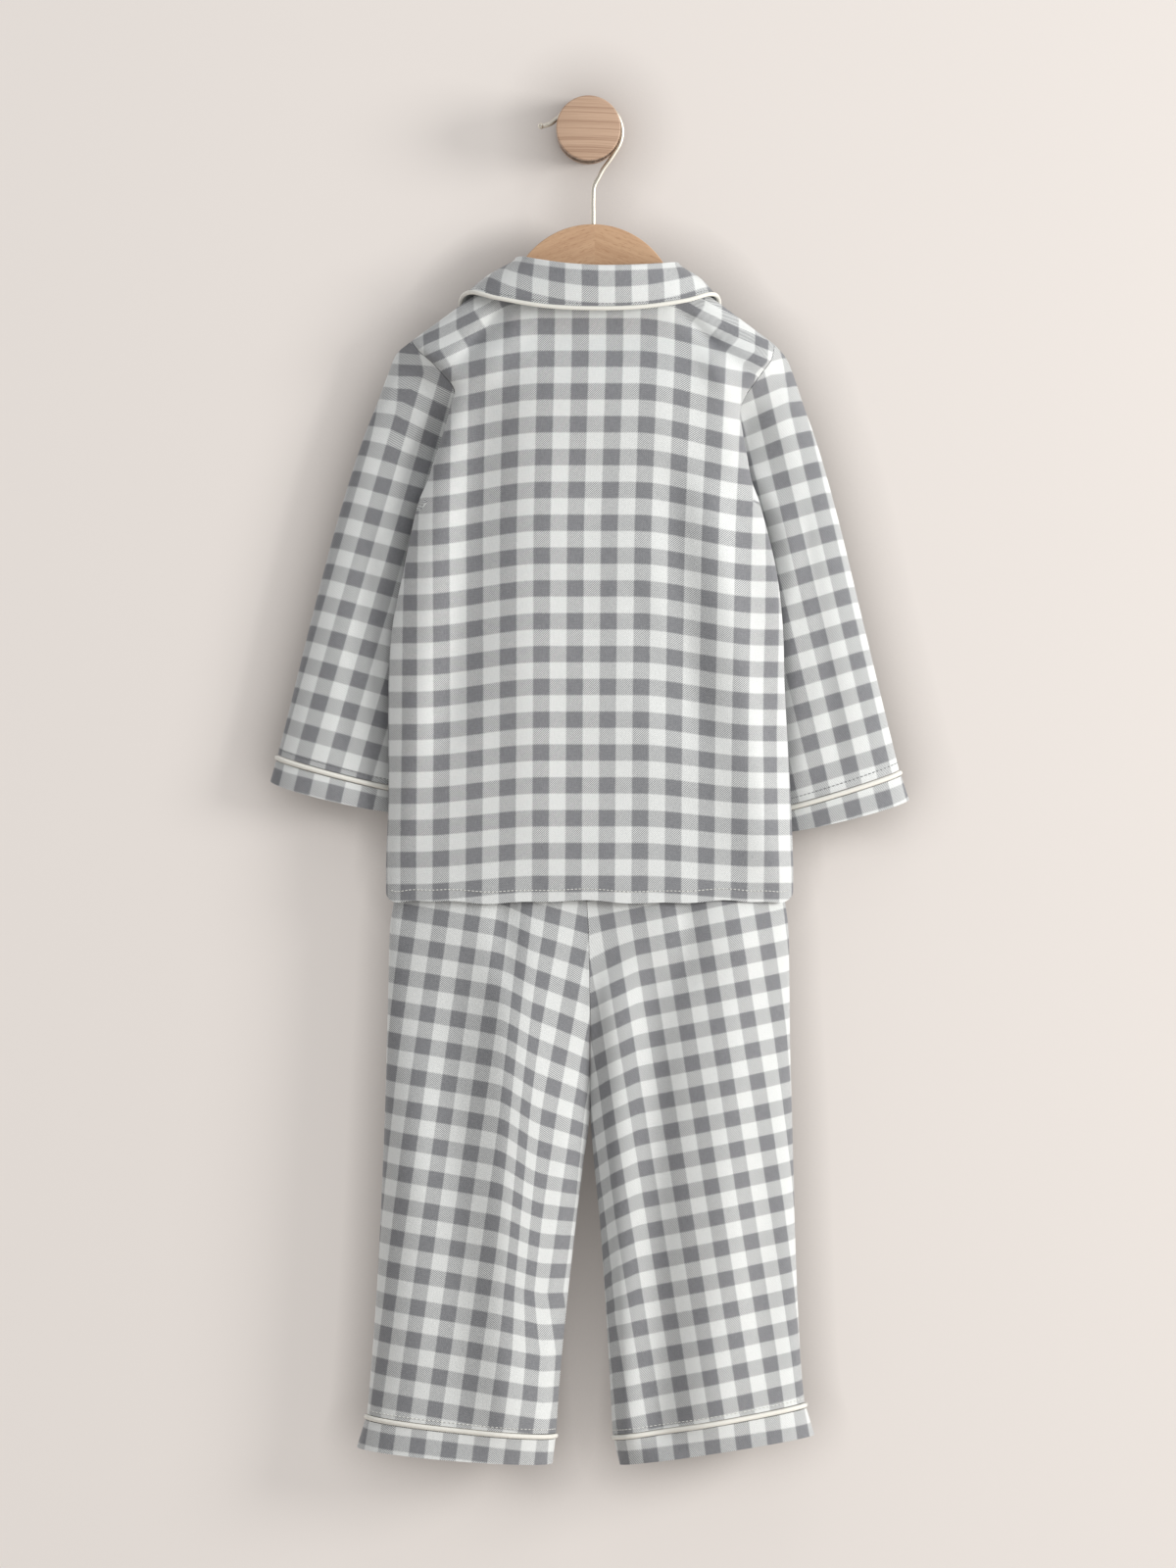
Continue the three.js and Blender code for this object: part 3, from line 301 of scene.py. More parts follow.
def back_points(across, down, creased=True):
    turn = np.pi * across
    edge_z, edge_deep = top_edge(mix(TIP_L[0], TIP_R[0], (1 - np.cos(turn)) / 2), NECK_BACK)
    uneven = (0.9 * np.sin(9.0 * turn + 0.6) + 0.5 * np.sin(21.0 * turn)) * smooth((down - 0.9) / 0.1)
    z = mix(edge_z, top_hem_z(turn) + uneven * np.sin(turn) ** 0.5, down)
    wrap = SIDES.at("wrap", z)
    angle = mix(-wrap, np.pi + wrap, across)
    middle, half = sides(z)
    x = middle - half * np.cos(angle)
    rounded = body_half(z, angle) * np.sin(angle)
    deep = mix(edge_deep, rounded, fall_from(edge_z - z, FALL_BACK))
    if creased:
        keep = smooth((edge_z - z) / 12) * smooth(np.minimum(across, 1 - across) / 0.03)
        deep = deep + (folds_at(BACK_FOLDS, x, z) + softness(x, z)) * keep
    return points_of(x, HANG_Y + SIDES.at("edge", z) - deep, z)


def front_points(across, down):
    turn = np.pi * across
    edge_z, edge_deep = top_edge(mix(TIP_L[0], TIP_R[0], (1 - np.cos(turn)) / 2), NECK_FRONT)
    z = mix(edge_z, top_hem_z(turn), down)
    wrap, armhole, fold = SIDES.at("wrap", z), SIDES.at("armhole", z), SIDES.at("edge", z)
    middle, half = sides(z)
    seam_y = fold + body_half(z, -wrap) * np.sin(wrap) + armhole
    reach = half - armhole * 0.3 / np.cos(wrap)
    swell = (fold + body_half(z, -np.pi / 2) - seam_y) / (1 - np.sin(wrap))
    angle = mix(wrap + SEAM_TURN, np.pi - wrap - SEAM_TURN, across)
    inward = np.maximum(0, np.sin(angle) - np.sin(wrap)) / (1 - np.sin(wrap))
    x = middle - reach * np.cos(angle) + (PLACKET_X - middle) * inward**2
    rounded = seam_y + swell * inward * (1 - np.sin(wrap))
    deep = mix(np.maximum(edge_deep, SEAM), rounded, fall_from(edge_z - z, FALL_FRONT))
    keep = smooth((edge_z - z) / 12) * smooth(np.minimum(across, 1 - across) / 0.05)
    return points_of(x, HANG_Y + deep + softness(x, z, 2.0) * keep, z)


def front_left_points(across, down):
    points = front_points(across, down)
    points[..., 1] += LAP_LIFT * smooth((across - 0.5 + 2.2 * PLACKET_TURN) / PLACKET_TURN)
    return points


def armhole_points(side, turn):
    across = 0.0 if side == "l" else 1.0
    down = UNDERARM_DOWN * (1 - np.cos(turn)) / 2
    flat = np.full_like(turn, across)
    back, front = back_points(flat, down, creased=False), front_points(flat, down)
    return np.where((turn <= np.pi)[..., None], back, front)


def sleeve_chord(side, turn, down):
    rows = SLEEVES[side]
    s = (1 - np.cos(turn)) / 2
    x = mix(rows.at("out_x", down), rows.at("in_x", down), s)
    z = mix(rows.at("out_z", down), rows.at("in_z", down), s) - SLEEVE_SAG * down**3 * np.abs(np.sin(turn))
    crease = folds_at(SLEEVE_FOLDS[side], s, down) * np.where(turn < np.pi, 1, 0)
    crease = crease + softness(x, z, 4.0) * smooth(down / 0.1)
    y = HANG_Y + rows.at("y", down) - (rows.at("half", down) + crease) * np.sin(turn)
    return points_of(x, y, z)


def sleeve_points(side, around, down):
    turn = 2 * np.pi * around
    head = armhole_points(side, turn) - sleeve_chord(side, turn, np.zeros_like(turn))
    share = 1 - smooth(down / SLEEVE_HEAD)
    return sleeve_chord(side, turn, down) + head * share[..., None]


def towards(start, goal, distance):
    way = goal - start
    length = np.linalg.norm(way, axis=-1, keepdims=True)
    return start + way / length * np.asarray(distance)[..., None]


def cuff_end_points(side, around):
    out_x, out_z, in_x, in_z, y, half = CUFF_ENDS[side]
    turn = 2 * np.pi * around
    s = (1 - np.cos(turn)) / 2
    z = mix(out_z, in_z, s) - CUFF_SAG * np.abs(np.sin(turn))
    return points_of(mix(out_x, in_x, s), HANG_Y + y - half * np.sin(turn), z)


def leg_share(s, z):
    tube = smooth((CROTCH_START_Z - z) / (CROTCH_START_Z - CROTCH_Z))
    dip = SEAT_DIP * smooth((WAIST_TOP_Z - z) / (WAIST_TOP_Z - CROTCH_START_Z))
    seat = np.sqrt(np.clip(1 - (1 - s) ** 2, 0, 1)) * (1 - dip * smooth((s - 0.6) / 0.4))
    return mix(seat, 2 * np.sqrt(np.clip(s * (1 - s), 0, 1)), tube)


def leg_points(side, face, across, down):
    out_z, in_z, sag = LEG_ENDS[side]
    rows = LEGS[side]
    s = (1 - np.cos(np.pi * across)) / 2
    z = mix(LEG_TOP_Z, mix(out_z, in_z, s) - sag * np.sin(np.pi * across), down)
    inner = rows.at("in", z) + (-SEAM / 2 if side == "l" else SEAM / 2)
    x = mix(rows.at("out", z), inner, s)
    depth = rows.at("half", z) * leg_share(s, z) + SEAM / 2
    if face == "front":
        return points_of(x, HANG_Y + LEG_EDGE + depth, z)
    keep = smooth((1 - s) / 0.08) * smooth(s / 0.08)
    fold = (folds_at(LEG_FOLDS[side], x, z) + softness(x, z, 6.0)) * keep
    return points_of(x, HANG_Y + LEG_EDGE - depth - fold, z)


def leg_ring(side, around):
    turn = 2 * around
    ones = np.ones_like(around)
    back = leg_points(side, "back", np.clip(turn, 0, 1), ones)
    front = leg_points(side, "front", np.clip(2 - turn, 0, 1), ones)
    return np.where((turn <= 1)[..., None], back, front)


def hem_end_points(side, around):
    out_x, out_z, in_x, in_z, sag = HEM_ENDS[side]
    turn = 2 * np.pi * around
    s = (1 - np.cos(turn)) / 2
    z = mix(out_z, in_z, s) - sag * np.abs(np.sin(turn))
    return points_of(mix(out_x, in_x, s), HANG_Y + LEG_EDGE - HEM_HALF * np.sin(turn), z)


def collar_points(turn, along):
    """Points of the collar: along runs from its neck seam, 0, over the roll, 0.5, to its free edge, 1."""
    angle = np.radians(turn)
    deep = np.where(np.abs(turn) < 90, NECK_BACK[0], NECK_FRONT[0])
    drop = np.where(np.abs(turn) < 90, NECK_BACK[1], NECK_FRONT[1])
    s = np.sin(angle)
    x = mix(NECK_L[0], NECK_R[0], (1 + s) / 2)
    z = mix(NECK_L[1], NECK_R[1], (1 + s) / 2) - drop * (1 - s * s) + COLLAR_LIFT
    seam = points_of(x, HANG_Y - np.cos(angle) * deep, z)
    roll = points_of(COLLAR.at("roll_x", turn), HANG_Y + COLLAR.at("roll_y", turn), COLLAR.at("roll_z", turn))
    edge = points_of(COLLAR.at("edge_x", turn), HANG_Y + COLLAR.at("edge_y", turn), COLLAR.at("edge_z", turn))
    out = points_of(np.sin(angle), -np.cos(angle), 0 * angle)
    chest = points_of(0 * angle, CHEST_LIFT * smooth((np.abs(turn) - 85) / 30), 0 * angle)
    down = np.array([0, 0, -1.0])
    stops = [
        seam - 0.6 * out,
        mix(seam, roll, 0.55) - ROLL_INSIDE * out,
        roll - ROLL_INSIDE * out + ROLL_INSIDE * down,
        roll,
        roll + ROLL_OUTSIDE * out + ROLL_OUTSIDE * down + 0.5 * chest,
        mix(roll, edge, 0.5) + ROLL_OUTSIDE * out + chest,
        edge,
    ]
    stops = np.stack(stops)  # stop, place, xyz
    at = along * (len(stops) - 1)
    i = np.clip(at.astype(int), 0, len(stops) - 2)
    t = (at - i)[..., None]
    pick = lambda k: np.take_along_axis(stops, np.clip(k, 0, len(stops) - 1)[None, ..., None], axis=0)[0]
    a, b = pick(i), pick(i + 1)
    da, db = (b - pick(i - 1)) / 2, (pick(i + 2) - a) / 2
    h = t * t * (3 - 2 * t)
    return a * (1 - h) + b * h + (t - 2 * t**2 + t**3) * da + (t**3 - t**2) * db


# ------------------------------------------------------------------ the gingham's place on each piece

def arc_from(points, x_start):
    """Distance along each row of points from where the row passes x_start."""
    step = np.linalg.norm(np.diff(points, axis=1), axis=-1)
    along = np.concatenate([np.zeros((len(points), 1)), np.cumsum(step, axis=1)], axis=1)
    x = points[..., 0]
    way = np.sign(x[:, -1] - x[:, 0])[:, None]
    nearest = np.argmin(np.abs(x - x_start), axis=1)[:, None]
    return way * (along - np.take_along_axis(along, nearest, axis=1)) + \
        (np.take_along_axis(x, nearest, axis=1) - x_start)


def laid_flat(points, low, high):
    """The x of each place, which past low and high is carried on along the cloth instead."""
    x = points[..., 0]
    beyond_low = np.minimum(0, arc_from(points, low))
    beyond_high = np.maximum(0, arc_from(points, high))
    inside = np.clip(x, low, high)
    return np.where(x < low, low + beyond_low, np.where(x > high, high + beyond_high, inside))


def ginghams(x, z, at, across, down):
    """Repeats of the check at flat places. at is a dark square's x and z; across and down are the
    repeats gained per millimetre of x and of z."""
    x, z = x - at[0], z - at[1]
    return np.stack([across[0] * x + across[1] * z, down[0] * x + down[1] * z], axis=-1)


def back_checks(points):
    z = points[..., 2]
    x = laid_flat(points, -106.0, 106.0)
    centre = np.interp(-z, (100, 150, 260, 500), (-5.0, -5.4, -8.4, -9.9))
    spacing = np.interp(-z, (150, 200, 290, 390), (22.4, 22.2, 21.9, 21.65))
    droop_l = np.interp(-z, (140, 200, 290, 390, 485), (12.0, 11.0, 9.5, 8.2, 5.6))
    droop_r = np.interp(-z, (140, 200, 290, 390, 485), (14.5, 14.0, 11.5, 9.2, 4.8))
    droop = np.where(x < 0, droop_l, droop_r) * smooth((np.abs(x) - 30) / 84)
    fold_x = np.where(x < 0, np.interp(-z, (110, 117, 150, 180), (-50, -54, -84, -112)),
                      np.interp(-z, (110, 118, 140, 162, 190), (52, 58, 82, 112, 140)))
    outside = np.maximum(0, np.abs(x) - np.abs(fold_x)) * smooth((190 + z) / 20)
    lean = np.sign(x) * 0.42 * np.minimum(outside, 20)
    return np.stack([(x - centre - lean) / spacing, (-129.5 - z - droop - 0.52 * outside) / 21.42], axis=-1)


def ring_flat(points):
    """A ring of cloth laid flat along its chord: near its edges, and round the wall side, by length of cloth."""
    step = np.linalg.norm(np.diff(points, axis=1), axis=-1)
    along = np.concatenate([np.zeros((len(points), 1)), np.cumsum(step, axis=1)], axis=1)
    half = (points.shape[1] - 1) // 2
    low, high = half // 4, half - half // 4
    x, z = points[..., 0].copy(), points[..., 2].copy()
    way = points[:, half] - points[:, 0]
    way = way / np.linalg.norm(way[:, [0, 2]], axis=-1)[:, None]
    for edge, part in ((low, slice(0, low)), (high, slice(high + 1, None))):
        flat = along[:, part] - along[:, edge:edge + 1]
        x[:, part] = points[:, edge:edge + 1, 0] + flat * way[:, None, 0]
        z[:, part] = points[:, edge:edge + 1, 2] + flat * way[:, None, 2]
    return x, z


def both_sides(checks):
    """A ring's checks on its seen side and, carried on round its outer edge, on its wall side."""
    far = checks.copy()
    half = (checks.shape[1] - 1) // 2
    seen = checks[:, half::-1]
    far[:, half:, 0] = 2 * checks[:, :1, 0] - seen[..., 0]
    far[:, half:, 1] = seen[..., 1]
    return np.stack([checks, far])


def leg_checks(points, side):
    z = points[..., 2]
    if side == "l":
        x = laid_flat(points, -121.0, -8.0)
        fold = smooth((x + 62) / 34)
        tuck = np.interp(-z, (530, 640, 760, 800, 830), (0.45, 0.7, 0.7, 0.16, 0.05))
        sink = np.interp(-z, (530, 600, 640, 680, 720, 760, 830), (0.3, 0.45, 0.53, 0.52, 0.33, 0.15, 0.0))
        seam = np.interp(-z, (530, 600, 640, 680, 720, 760), (0.0055, 0.0105, 0.009, 0.0045, -0.0025, -0.008))
        u, v = ginghams(x, z, (-90, -720), (0.0487, -0.0068), (-0.008, -0.0467)).transpose(2, 0, 1)
        return np.stack([u + 0.70 + tuck * fold, v + 0.47 - sink * fold - seam * np.maximum(0, x + 30)], axis=-1)
    x = laid_flat(points, 18.0, 122.0)
    steep = smooth((-z - 520) / 30) * smooth((790 + z) / 40) * 0.012 * np.maximum(0, 32 - x)
    u, v = ginghams(x, z, (60, -720), (0.049, 0.0077), (0.01, -0.0482)).transpose(2, 0, 1)
    return np.stack([u + 0.78, v + 0.19 - steep], axis=-1)


# ------------------------------------------------------------------ making pieces

def grid(downs, acrosses):
    return np.meshgrid(downs, acrosses, indexing="ij")


def wall(name, points, checks, thick, outside=1, ring=False, trim=None):
    """A closed wall of cloth. outside is 1 if across times down points outwards, -1 if inwards.
    A ring's last column lies on its first, and it may have checks of its own for each half."""
    rows, cols = points.shape[:2]
    checks = checks.reshape(-1, rows, cols, 2)
    if ring:
        core = points[:, :-1]
        across = np.roll(core, -1, axis=1) - np.roll(core, 1, axis=1)
        across = np.concatenate([across, across[:, :1]], axis=1)
    else:
        across = np.gradient(points, axis=1)
    normal = np.cross(across, np.gradient(points, axis=0)) * outside
    if trim is not None:
        normal = trim(normal)
    normal /= np.maximum(np.linalg.norm(normal, axis=-1, keepdims=True), 1e-9)
    inner = points - normal * np.broadcast_to(np.asarray(thick, dtype=float), (rows, cols))[..., None]
    used = cols - 1 if ring else cols
    verts = np.concatenate([points[:, :used].reshape(-1, 3), inner[:, :used].reshape(-1, 3)]) * MM

    def corner(i, j, layer):
        return layer * rows * used + i * used + j % used

    faces, places = [], []

    def add(corners):
        order = corners if outside > 0 else corners[::-1]
        faces.append([corner(*c) for c in order])
        half = int(len(checks) > 1 and min(c[1] for c in corners) >= (cols - 1) // 2)
        places.extend((half, c[0], c[1]) for c in order)

    for i in range(rows - 1):
        for j in range(cols - 1):
            add([(i, j, 0), (i, j + 1, 0), (i + 1, j + 1, 0), (i + 1, j, 0)])
            add([(i, j + 1, 1), (i, j, 1), (i + 1, j, 1), (i + 1, j + 1, 1)])
        if not ring:
            add([(i, 0, 0), (i + 1, 0, 0), (i + 1, 0, 1), (i, 0, 1)])
            add([(i + 1, cols - 1, 0), (i, cols - 1, 0), (i, cols - 1, 1), (i + 1, cols - 1, 1)])
    for j in range(cols - 1):
        add([(0, j + 1, 0), (0, j, 0), (0, j, 1), (0, j + 1, 1)])
        add([(rows - 1, j, 0), (rows - 1, j + 1, 0), (rows - 1, j + 1, 1), (rows - 1, j, 1)])
    return mesh_piece(name, verts, faces, checks[tuple(np.array(places).T)])


def mesh_piece(name, verts, faces, uv=None):
    mesh = bpy.data.meshes.new(name)
    mesh.from_pydata(verts.tolist(), [], faces)
    if uv is not None:
        mesh.uv_layers.new(name="cloth").data.foreach_set("uv", np.asarray(uv, dtype=float).ravel())
    mesh.validate()
    piece = bpy.data.objects.new(name, mesh)
    bpy.context.scene.collection.objects.link(piece)
    alone(piece)
    bpy.ops.object.shade_smooth_by_angle(angle=math.radians(50))
    return piece


def alone(piece):
    bpy.ops.object.select_all(action="DESELECT")
    piece.select_set(True)
    bpy.context.view_layer.objects.active = piece


def face_outwards(piece):
    alone(piece)
    bpy.ops.object.mode_set(mode="EDIT")
    bpy.ops.mesh.select_all(action="SELECT")
    bpy.ops.mesh.normals_make_consistent(inside=False)
    bpy.ops.object.mode_set(mode="OBJECT")


def round_edges(piece, width, segments, sharper_than):
    """Rounds the edges that turn by more than an angle in degrees."""
    alone(piece)
    edges = piece.modifiers.new("rounding", "BEVEL")
    edges.width, edges.segments, edges.limit_method = width * MM, segments, "ANGLE"
    edges.angle_limit = math.radians(sharper_than)
    bpy.ops.object.modifier_apply(modifier=edges.name)


def combine(piece, other, operation):
    """Joins another piece on, or cuts it out, and uses it up."""
    alone(piece)
    step = piece.modifiers.new("combine", "BOOLEAN")
    step.operation, step.object, step.solver = operation, other, "EXACT"
    bpy.ops.object.modifier_apply(modifier=step.name)
    bpy.data.objects.remove(other)


def tube(name, line, radius, sides=10, closed=False):
    """A round cord of cloth along a line, with a UV map of its length and girth in millimetres."""
    line = np.asarray(line, dtype=float)
    tangent = np.gradient(line, axis=0)
    if closed:
        tangent = np.roll(line, -1, axis=0) - np.roll(line, 1, axis=0)
    tangent /= np.linalg.norm(tangent, axis=-1, keepdims=True)
    side = np.cross(tangent, [0.0, 1.0, 0.0])
    weak = np.linalg.norm(side, axis=-1) < 0.2
    side[weak] = np.cross(tangent[weak], [0.0, 0.0, 1.0])
    side /= np.linalg.norm(side, axis=-1, keepdims=True)
    lift = np.cross(side, tangent)
    angle = 2 * np.pi * np.arange(sides) / sides
    ring = np.cos(angle)[None, :, None] * side[:, None] + np.sin(angle)[None, :, None] * lift[:, None]
    verts = line[:, None] + radius * ring
    length = np.concatenate([[0], np.cumsum(np.linalg.norm(np.diff(line, axis=0), axis=-1))])
    faces, uv = [], []
    count = len(line)
    girth = 2 * np.pi * radius / sides
    for i in range(count if closed else count - 1):
        n = (i + 1) % count
        end = length[i] + np.linalg.norm(line[n] - line[i])
        for j in range(sides):
            k = (j + 1) % sides
            faces.append([i * sides + j, n * sides + j, n * sides + k, i * sides + k])
            uv += [(length[i], j * girth), (end, j * girth), (end, (j + 1) * girth), (length[i], (j + 1) * girth)]
    if not closed:
        faces += [list(range(sides)), [(count - 1) * sides + j for j in reversed(range(sides))]]
        uv += [(0, 0)] * (2 * sides)
    return mesh_piece(name, verts.reshape(-1, 3) * MM, faces, np.array(uv) / REPEAT)


def evenly(line, spacing):
    """Points of a line at even spacing, with the way it runs there."""
    line = np.asarray(line, dtype=float)
    length = np.concatenate([[0], np.cumsum(np.linalg.norm(np.diff(line, axis=0), axis=-1))])
    at = np.arange(spacing / 2, length[-1], spacing)
    spots = np.stack([np.interp(at, length, line[:, k]) for k in range(3)], axis=-1)
    ahead = np.stack([np.interp(at + 0.5, length, line[:, k]) for k in range(3)], axis=-1)
    behind = np.stack([np.interp(at - 0.5, length, line[:, k]) for k in range(3)], axis=-1)
    way = ahead - behind
    return spots, way / np.maximum(np.linalg.norm(way, axis=-1, keepdims=True), 1e-9)


def stitching(name, line, outwards, long=1.9, spacing=2.6, radius=0.28):
    """A row of machine stitches: each thread comes up, runs along the cloth and dives in again."""
    spots, ways = evenly(line, spacing)
    out = np.stack([np.interp(np.linspace(0, 1, len(spots)), np.linspace(0, 1, len(outwards)), outwards[:, k])
                    for k in range(3)], axis=-1)
    out /= np.linalg.norm(out, axis=-1, keepdims=True)
    verts, faces = [], []
    profile = ((-0.5, -0.5, 0.5), (-0.38, 0.55, 0.9), (0.0, 0.9, 1.0), (0.38, 0.55, 0.9), (0.5, -0.5, 0.5))
    girth = 6
    for spot, way, up in zip(spots, ways, out):
        side = np.cross(way, up)
        base = len(verts)
        for along, high, wide in profile:
            centre = spot + way * along * long + up * high * radius
            for k in range(girth):
                a = 2 * math.pi * k / girth
                verts.append(centre + radius * wide * (math.cos(a) * side + math.sin(a) * up))
        for i in range(len(profile) - 1):
            for k in range(girth):
                n = (k + 1) % girth
                a, b = base + i * girth, base + (i + 1) * girth
                faces.append([a + k, a + n, b + n, b + k])
        faces.append([base + k for k in reversed(range(girth))])
        faces.append([base + (len(profile) - 1) * girth + k for k in range(girth)])
    piece = mesh_piece(name, np.array(verts) * MM, faces)
    face_outwards(piece)
    return piece


def fit(piece, slot, finish, *nodes):
    """Rides a piece on the part, gives it its finish, and puts it in place of its CAD nodes; its slot is not used.
    """
    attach(piece, BODY)
    piece.data.materials.clear()
    piece.data.materials.append(finish)
    if nodes:
        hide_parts(*nodes)
    return piece


# ------------------------------------------------------------------ finishes

class Value:
    """A shader value: arithmetic on it adds Math nodes."""

    def __init__(self, tree, socket):
        self.tree, self.socket = tree, socket

    def maths(self, operation, *items):
        node = self.tree.nodes.new("ShaderNodeMath")
        node.operation = operation
        for slot, item in zip(node.inputs, items):
            plug(self.tree, slot, item)
        return Value(self.tree, node.outputs[0])

    def __add__(self, other):
        return self.maths("ADD", self, other)

    def __radd__(self, other):
        return self.maths("ADD", other, self)

    def __sub__(self, other):
        return self.maths("SUBTRACT", self, other)

    def __rsub__(self, other):
        return self.maths("SUBTRACT", other, self)

    def __mul__(self, other):
        return self.maths("MULTIPLY", self, other)

    def __rmul__(self, other):
        return self.maths("MULTIPLY", other, self)

    def clamp(self):
        return self.maths("MINIMUM", self.maths("MAXIMUM", self, 0.0), 1.0)

    def wave(self):
        return self.maths("COSINE", self * (2 * math.pi))


def plug(tree, slot, item):
    if isinstance(item, Value):
        tree.links.new(item.socket, slot)
    else:
        slot.default_value = item


class Finish:
    """One material: a Principled shader and the nodes that feed it."""

    def __init__(self, name, **fixed):
        self.material = bpy.data.materials.new(name)
        self.material.use_nodes = True
        self.tree = self.material.node_tree
        self.shader = self.tree.nodes["Principled BSDF"]
        for socket, value in fixed.items():
            self.shader.inputs[socket.replace("_", " ").title().replace("Ior", "IOR")].default_value = value

    def node(self, kind, settings=None, inputs=None, out=0):
        node = self.tree.nodes.new(kind)
        for key, value in (settings or {}).items():
            setattr(node, key, value)
        for key, item in (inputs or {}).items():
            plug(self.tree, node.inputs[key], item)
        if isinstance(out, tuple):
            return [Value(self.tree, node.outputs[k]) for k in out]
        return Value(self.tree, node.outputs[out])

    def blend(self, factor, a, b):
        return self.node("ShaderNodeMix", {"data_type": "RGBA"}, {0: factor, 6: a, 7: b}, out=2)

    def noise(self, place, scale, detail=2.0, rough=0.5):
        inputs = {"Vector": place, "Scale": scale, "Detail": detail, "Roughness": rough}
        return self.node("ShaderNodeTexNoise", None, inputs, out=0)

    def place(self):
        return self.node("ShaderNodeTexCoord", None, None, out="Object")

    def stretched(self, place, scale):
        return self.node("ShaderNodeMapping", None, {"Vector": place, "Scale": scale})

    def spread(self, x, y, z):
        """A place made from three values, for a grain that runs its own way."""
        return self.node("ShaderNodeCombineXYZ", None, {0: x, 1: y, 2: z})

    def colour(self, value):
        plug(self.tree, self.shader.inputs["Base Color"], value)

    def rough(self, value):
        plug(self.tree, self.shader.inputs["Roughness"], value)

    def bump(self, height, deep, strength=1.0):
        inputs = {"Height": height, "Distance": deep, "Strength": strength}
        plug(self.tree, self.shader.inputs["Normal"], self.node("ShaderNodeBump", None, inputs))


LIGHT_YARN = (0.765, 0.785, 0.775, 1)
GREY_YARN = (0.165, 0.17, 0.185, 1)
BAND_EDGE = 3.4  # how sharply one band of colour follows another
TWILL_LINES = 15.2  # diagonal lines in one repeat
YARN_ACROSS, YARN_ALONG = REPEAT * 1.6, REPEAT * 0.2  # how fine the thick and thin places are each way


def make_gingham():
    f = Finish("brushed_gingham", roughness=0.92, sheen_weight=0.25, sheen_roughness=0.5)
    uv = f.node("ShaderNodeUVMap", {"uv_map": "cloth"})
    place = f.place()
    wander = f.noise(place, 420.0, 2.0) - 0.5
    u, v = f.node("ShaderNodeSeparateXYZ", None, {0: uv}, out=(0, 1))
    warp = ((u + wander * 0.022).wave() * BAND_EDGE + 0.5).clamp()
    weft = ((v + wander * 0.022).wave() * BAND_EDGE + 0.5).clamp()
    twill = (u + v) * TWILL_LINES + wander * 0.12
    over = (twill.wave() * 1.1 + 0.5).clamp()
    grey = warp * (1 - over) + weft * over
    yarn = f.noise(f.stretched(uv, (YARN_ACROSS, YARN_ALONG, 1.0)), 1.0)
    slub = f.noise(f.stretched(uv, (YARN_ALONG, YARN_ACROSS, 1.0)), 1.0)
    fluff = f.noise(place, 1500.0, 3.0, 0.65)
    cloud = f.noise(place, 45.0, 3.0, 0.55)
    shade = (yarn + slub - 1.0) * 0.30 + (fluff - 0.5) * 0.55 + (cloud - 0.5) * 0.12
    plain = f.blend(grey, LIGHT_YARN, GREY_YARN)
    dusty = f.blend((shade * 0.5 + 0.10).clamp(), plain, (0.62, 0.62, 0.61, 1))
    f.colour(f.blend((0.10 - shade * 0.5).clamp(), dusty, (0.13, 0.135, 0.14, 1)))
    f.rough(0.86 + fluff * 0.12)
    f.bump(twill.wave() * 0.4 + fluff * 0.9 + (yarn + slub) * 0.4, 0.00028, 0.7)
    return f.material


def make_piping():
    f = Finish("cotton_piping", roughness=0.85, sheen_weight=0.2, sheen_roughness=0.5)
    uv = f.node("ShaderNodeUVMap", {"uv_map": "cloth"})
    u, v = f.node("ShaderNodeSeparateXYZ", None, {0: uv}, out=(0, 1))
    thread = (u * REPEAT * 1.1 + v * REPEAT * 1.1).wave()
    fluff = f.noise(f.place(), 1200.0, 3.0, 0.6)
    worn = f.noise(f.place(), 90.0)
    pale = f.blend((fluff * 0.55 + worn * 0.25 - 0.15).clamp(), (0.76, 0.745, 0.68, 1), (0.87, 0.865, 0.82, 1))
    f.colour(f.blend((thread * 0.06 + 0.05).clamp(), pale, (0.6, 0.58, 0.52, 1)))
    f.rough(0.78 + fluff * 0.15)
    f.bump(thread * 0.5 + fluff * 0.8, 0.0002, 0.6)
    return f.material


def make_thread(name, dark, light, matt):
    f = Finish(name, roughness=0.7)
    fluff = f.noise(f.place(), 2600.0, 2.0)
    f.colour(f.blend(fluff, dark, light))
    f.rough(matt + fluff * 0.2)
    f.bump(fluff, 0.00008, 0.5)
    return f.material


def make_hanger_wood():
    """Beech whose two halves meet at the hanger's middle, with the grain rising towards it from each side."""
    f = Finish("hanger_beech", coat_weight=0.25, coat_roughness=0.3)
    x, y, z = f.node("ShaderNodeSeparateXYZ", None, {0: f.place()}, out=(0, 1, 2))
    side = x.maths("SIGN", x - 0.004)
    away = x.maths("ABSOLUTE", x - 0.004)
    across = z * 0.93 + away * 0.36
    along = away * 0.93 - z * 0.36
    grain = f.noise(f.spread(along * 22.0, y * 90.0 + side * 3.0, across * 520.0), 1.0, 4.0, 0.6)
    broad = f.noise(f.spread(along * 9.0, side, across * 110.0), 1.0, 3.0)
    fleck = ((f.noise(f.spread(along * 240.0, y * 600.0, across * 1900.0), 1.0, 1.0) - 0.58) * 8.0).clamp()
    base = f.blend(broad, (0.49, 0.295, 0.17, 1), (0.60, 0.40, 0.245, 1))
    lined = f.blend((grain * 2.6 - 0.95).clamp() * 0.6, base, (0.37, 0.205, 0.11, 1))
    flecked = f.blend(fleck * 0.6, lined, (0.36, 0.19, 0.095, 1))
    f.colour(f.blend((side * 0.5 + 0.5) * 0.14, flecked, (0.42, 0.23, 0.11, 1)))
    f.rough(0.42 + grain * 0.2)
    f.bump(grain * 0.7 - fleck * 0.6, 0.00012, 0.5)
    return f.material


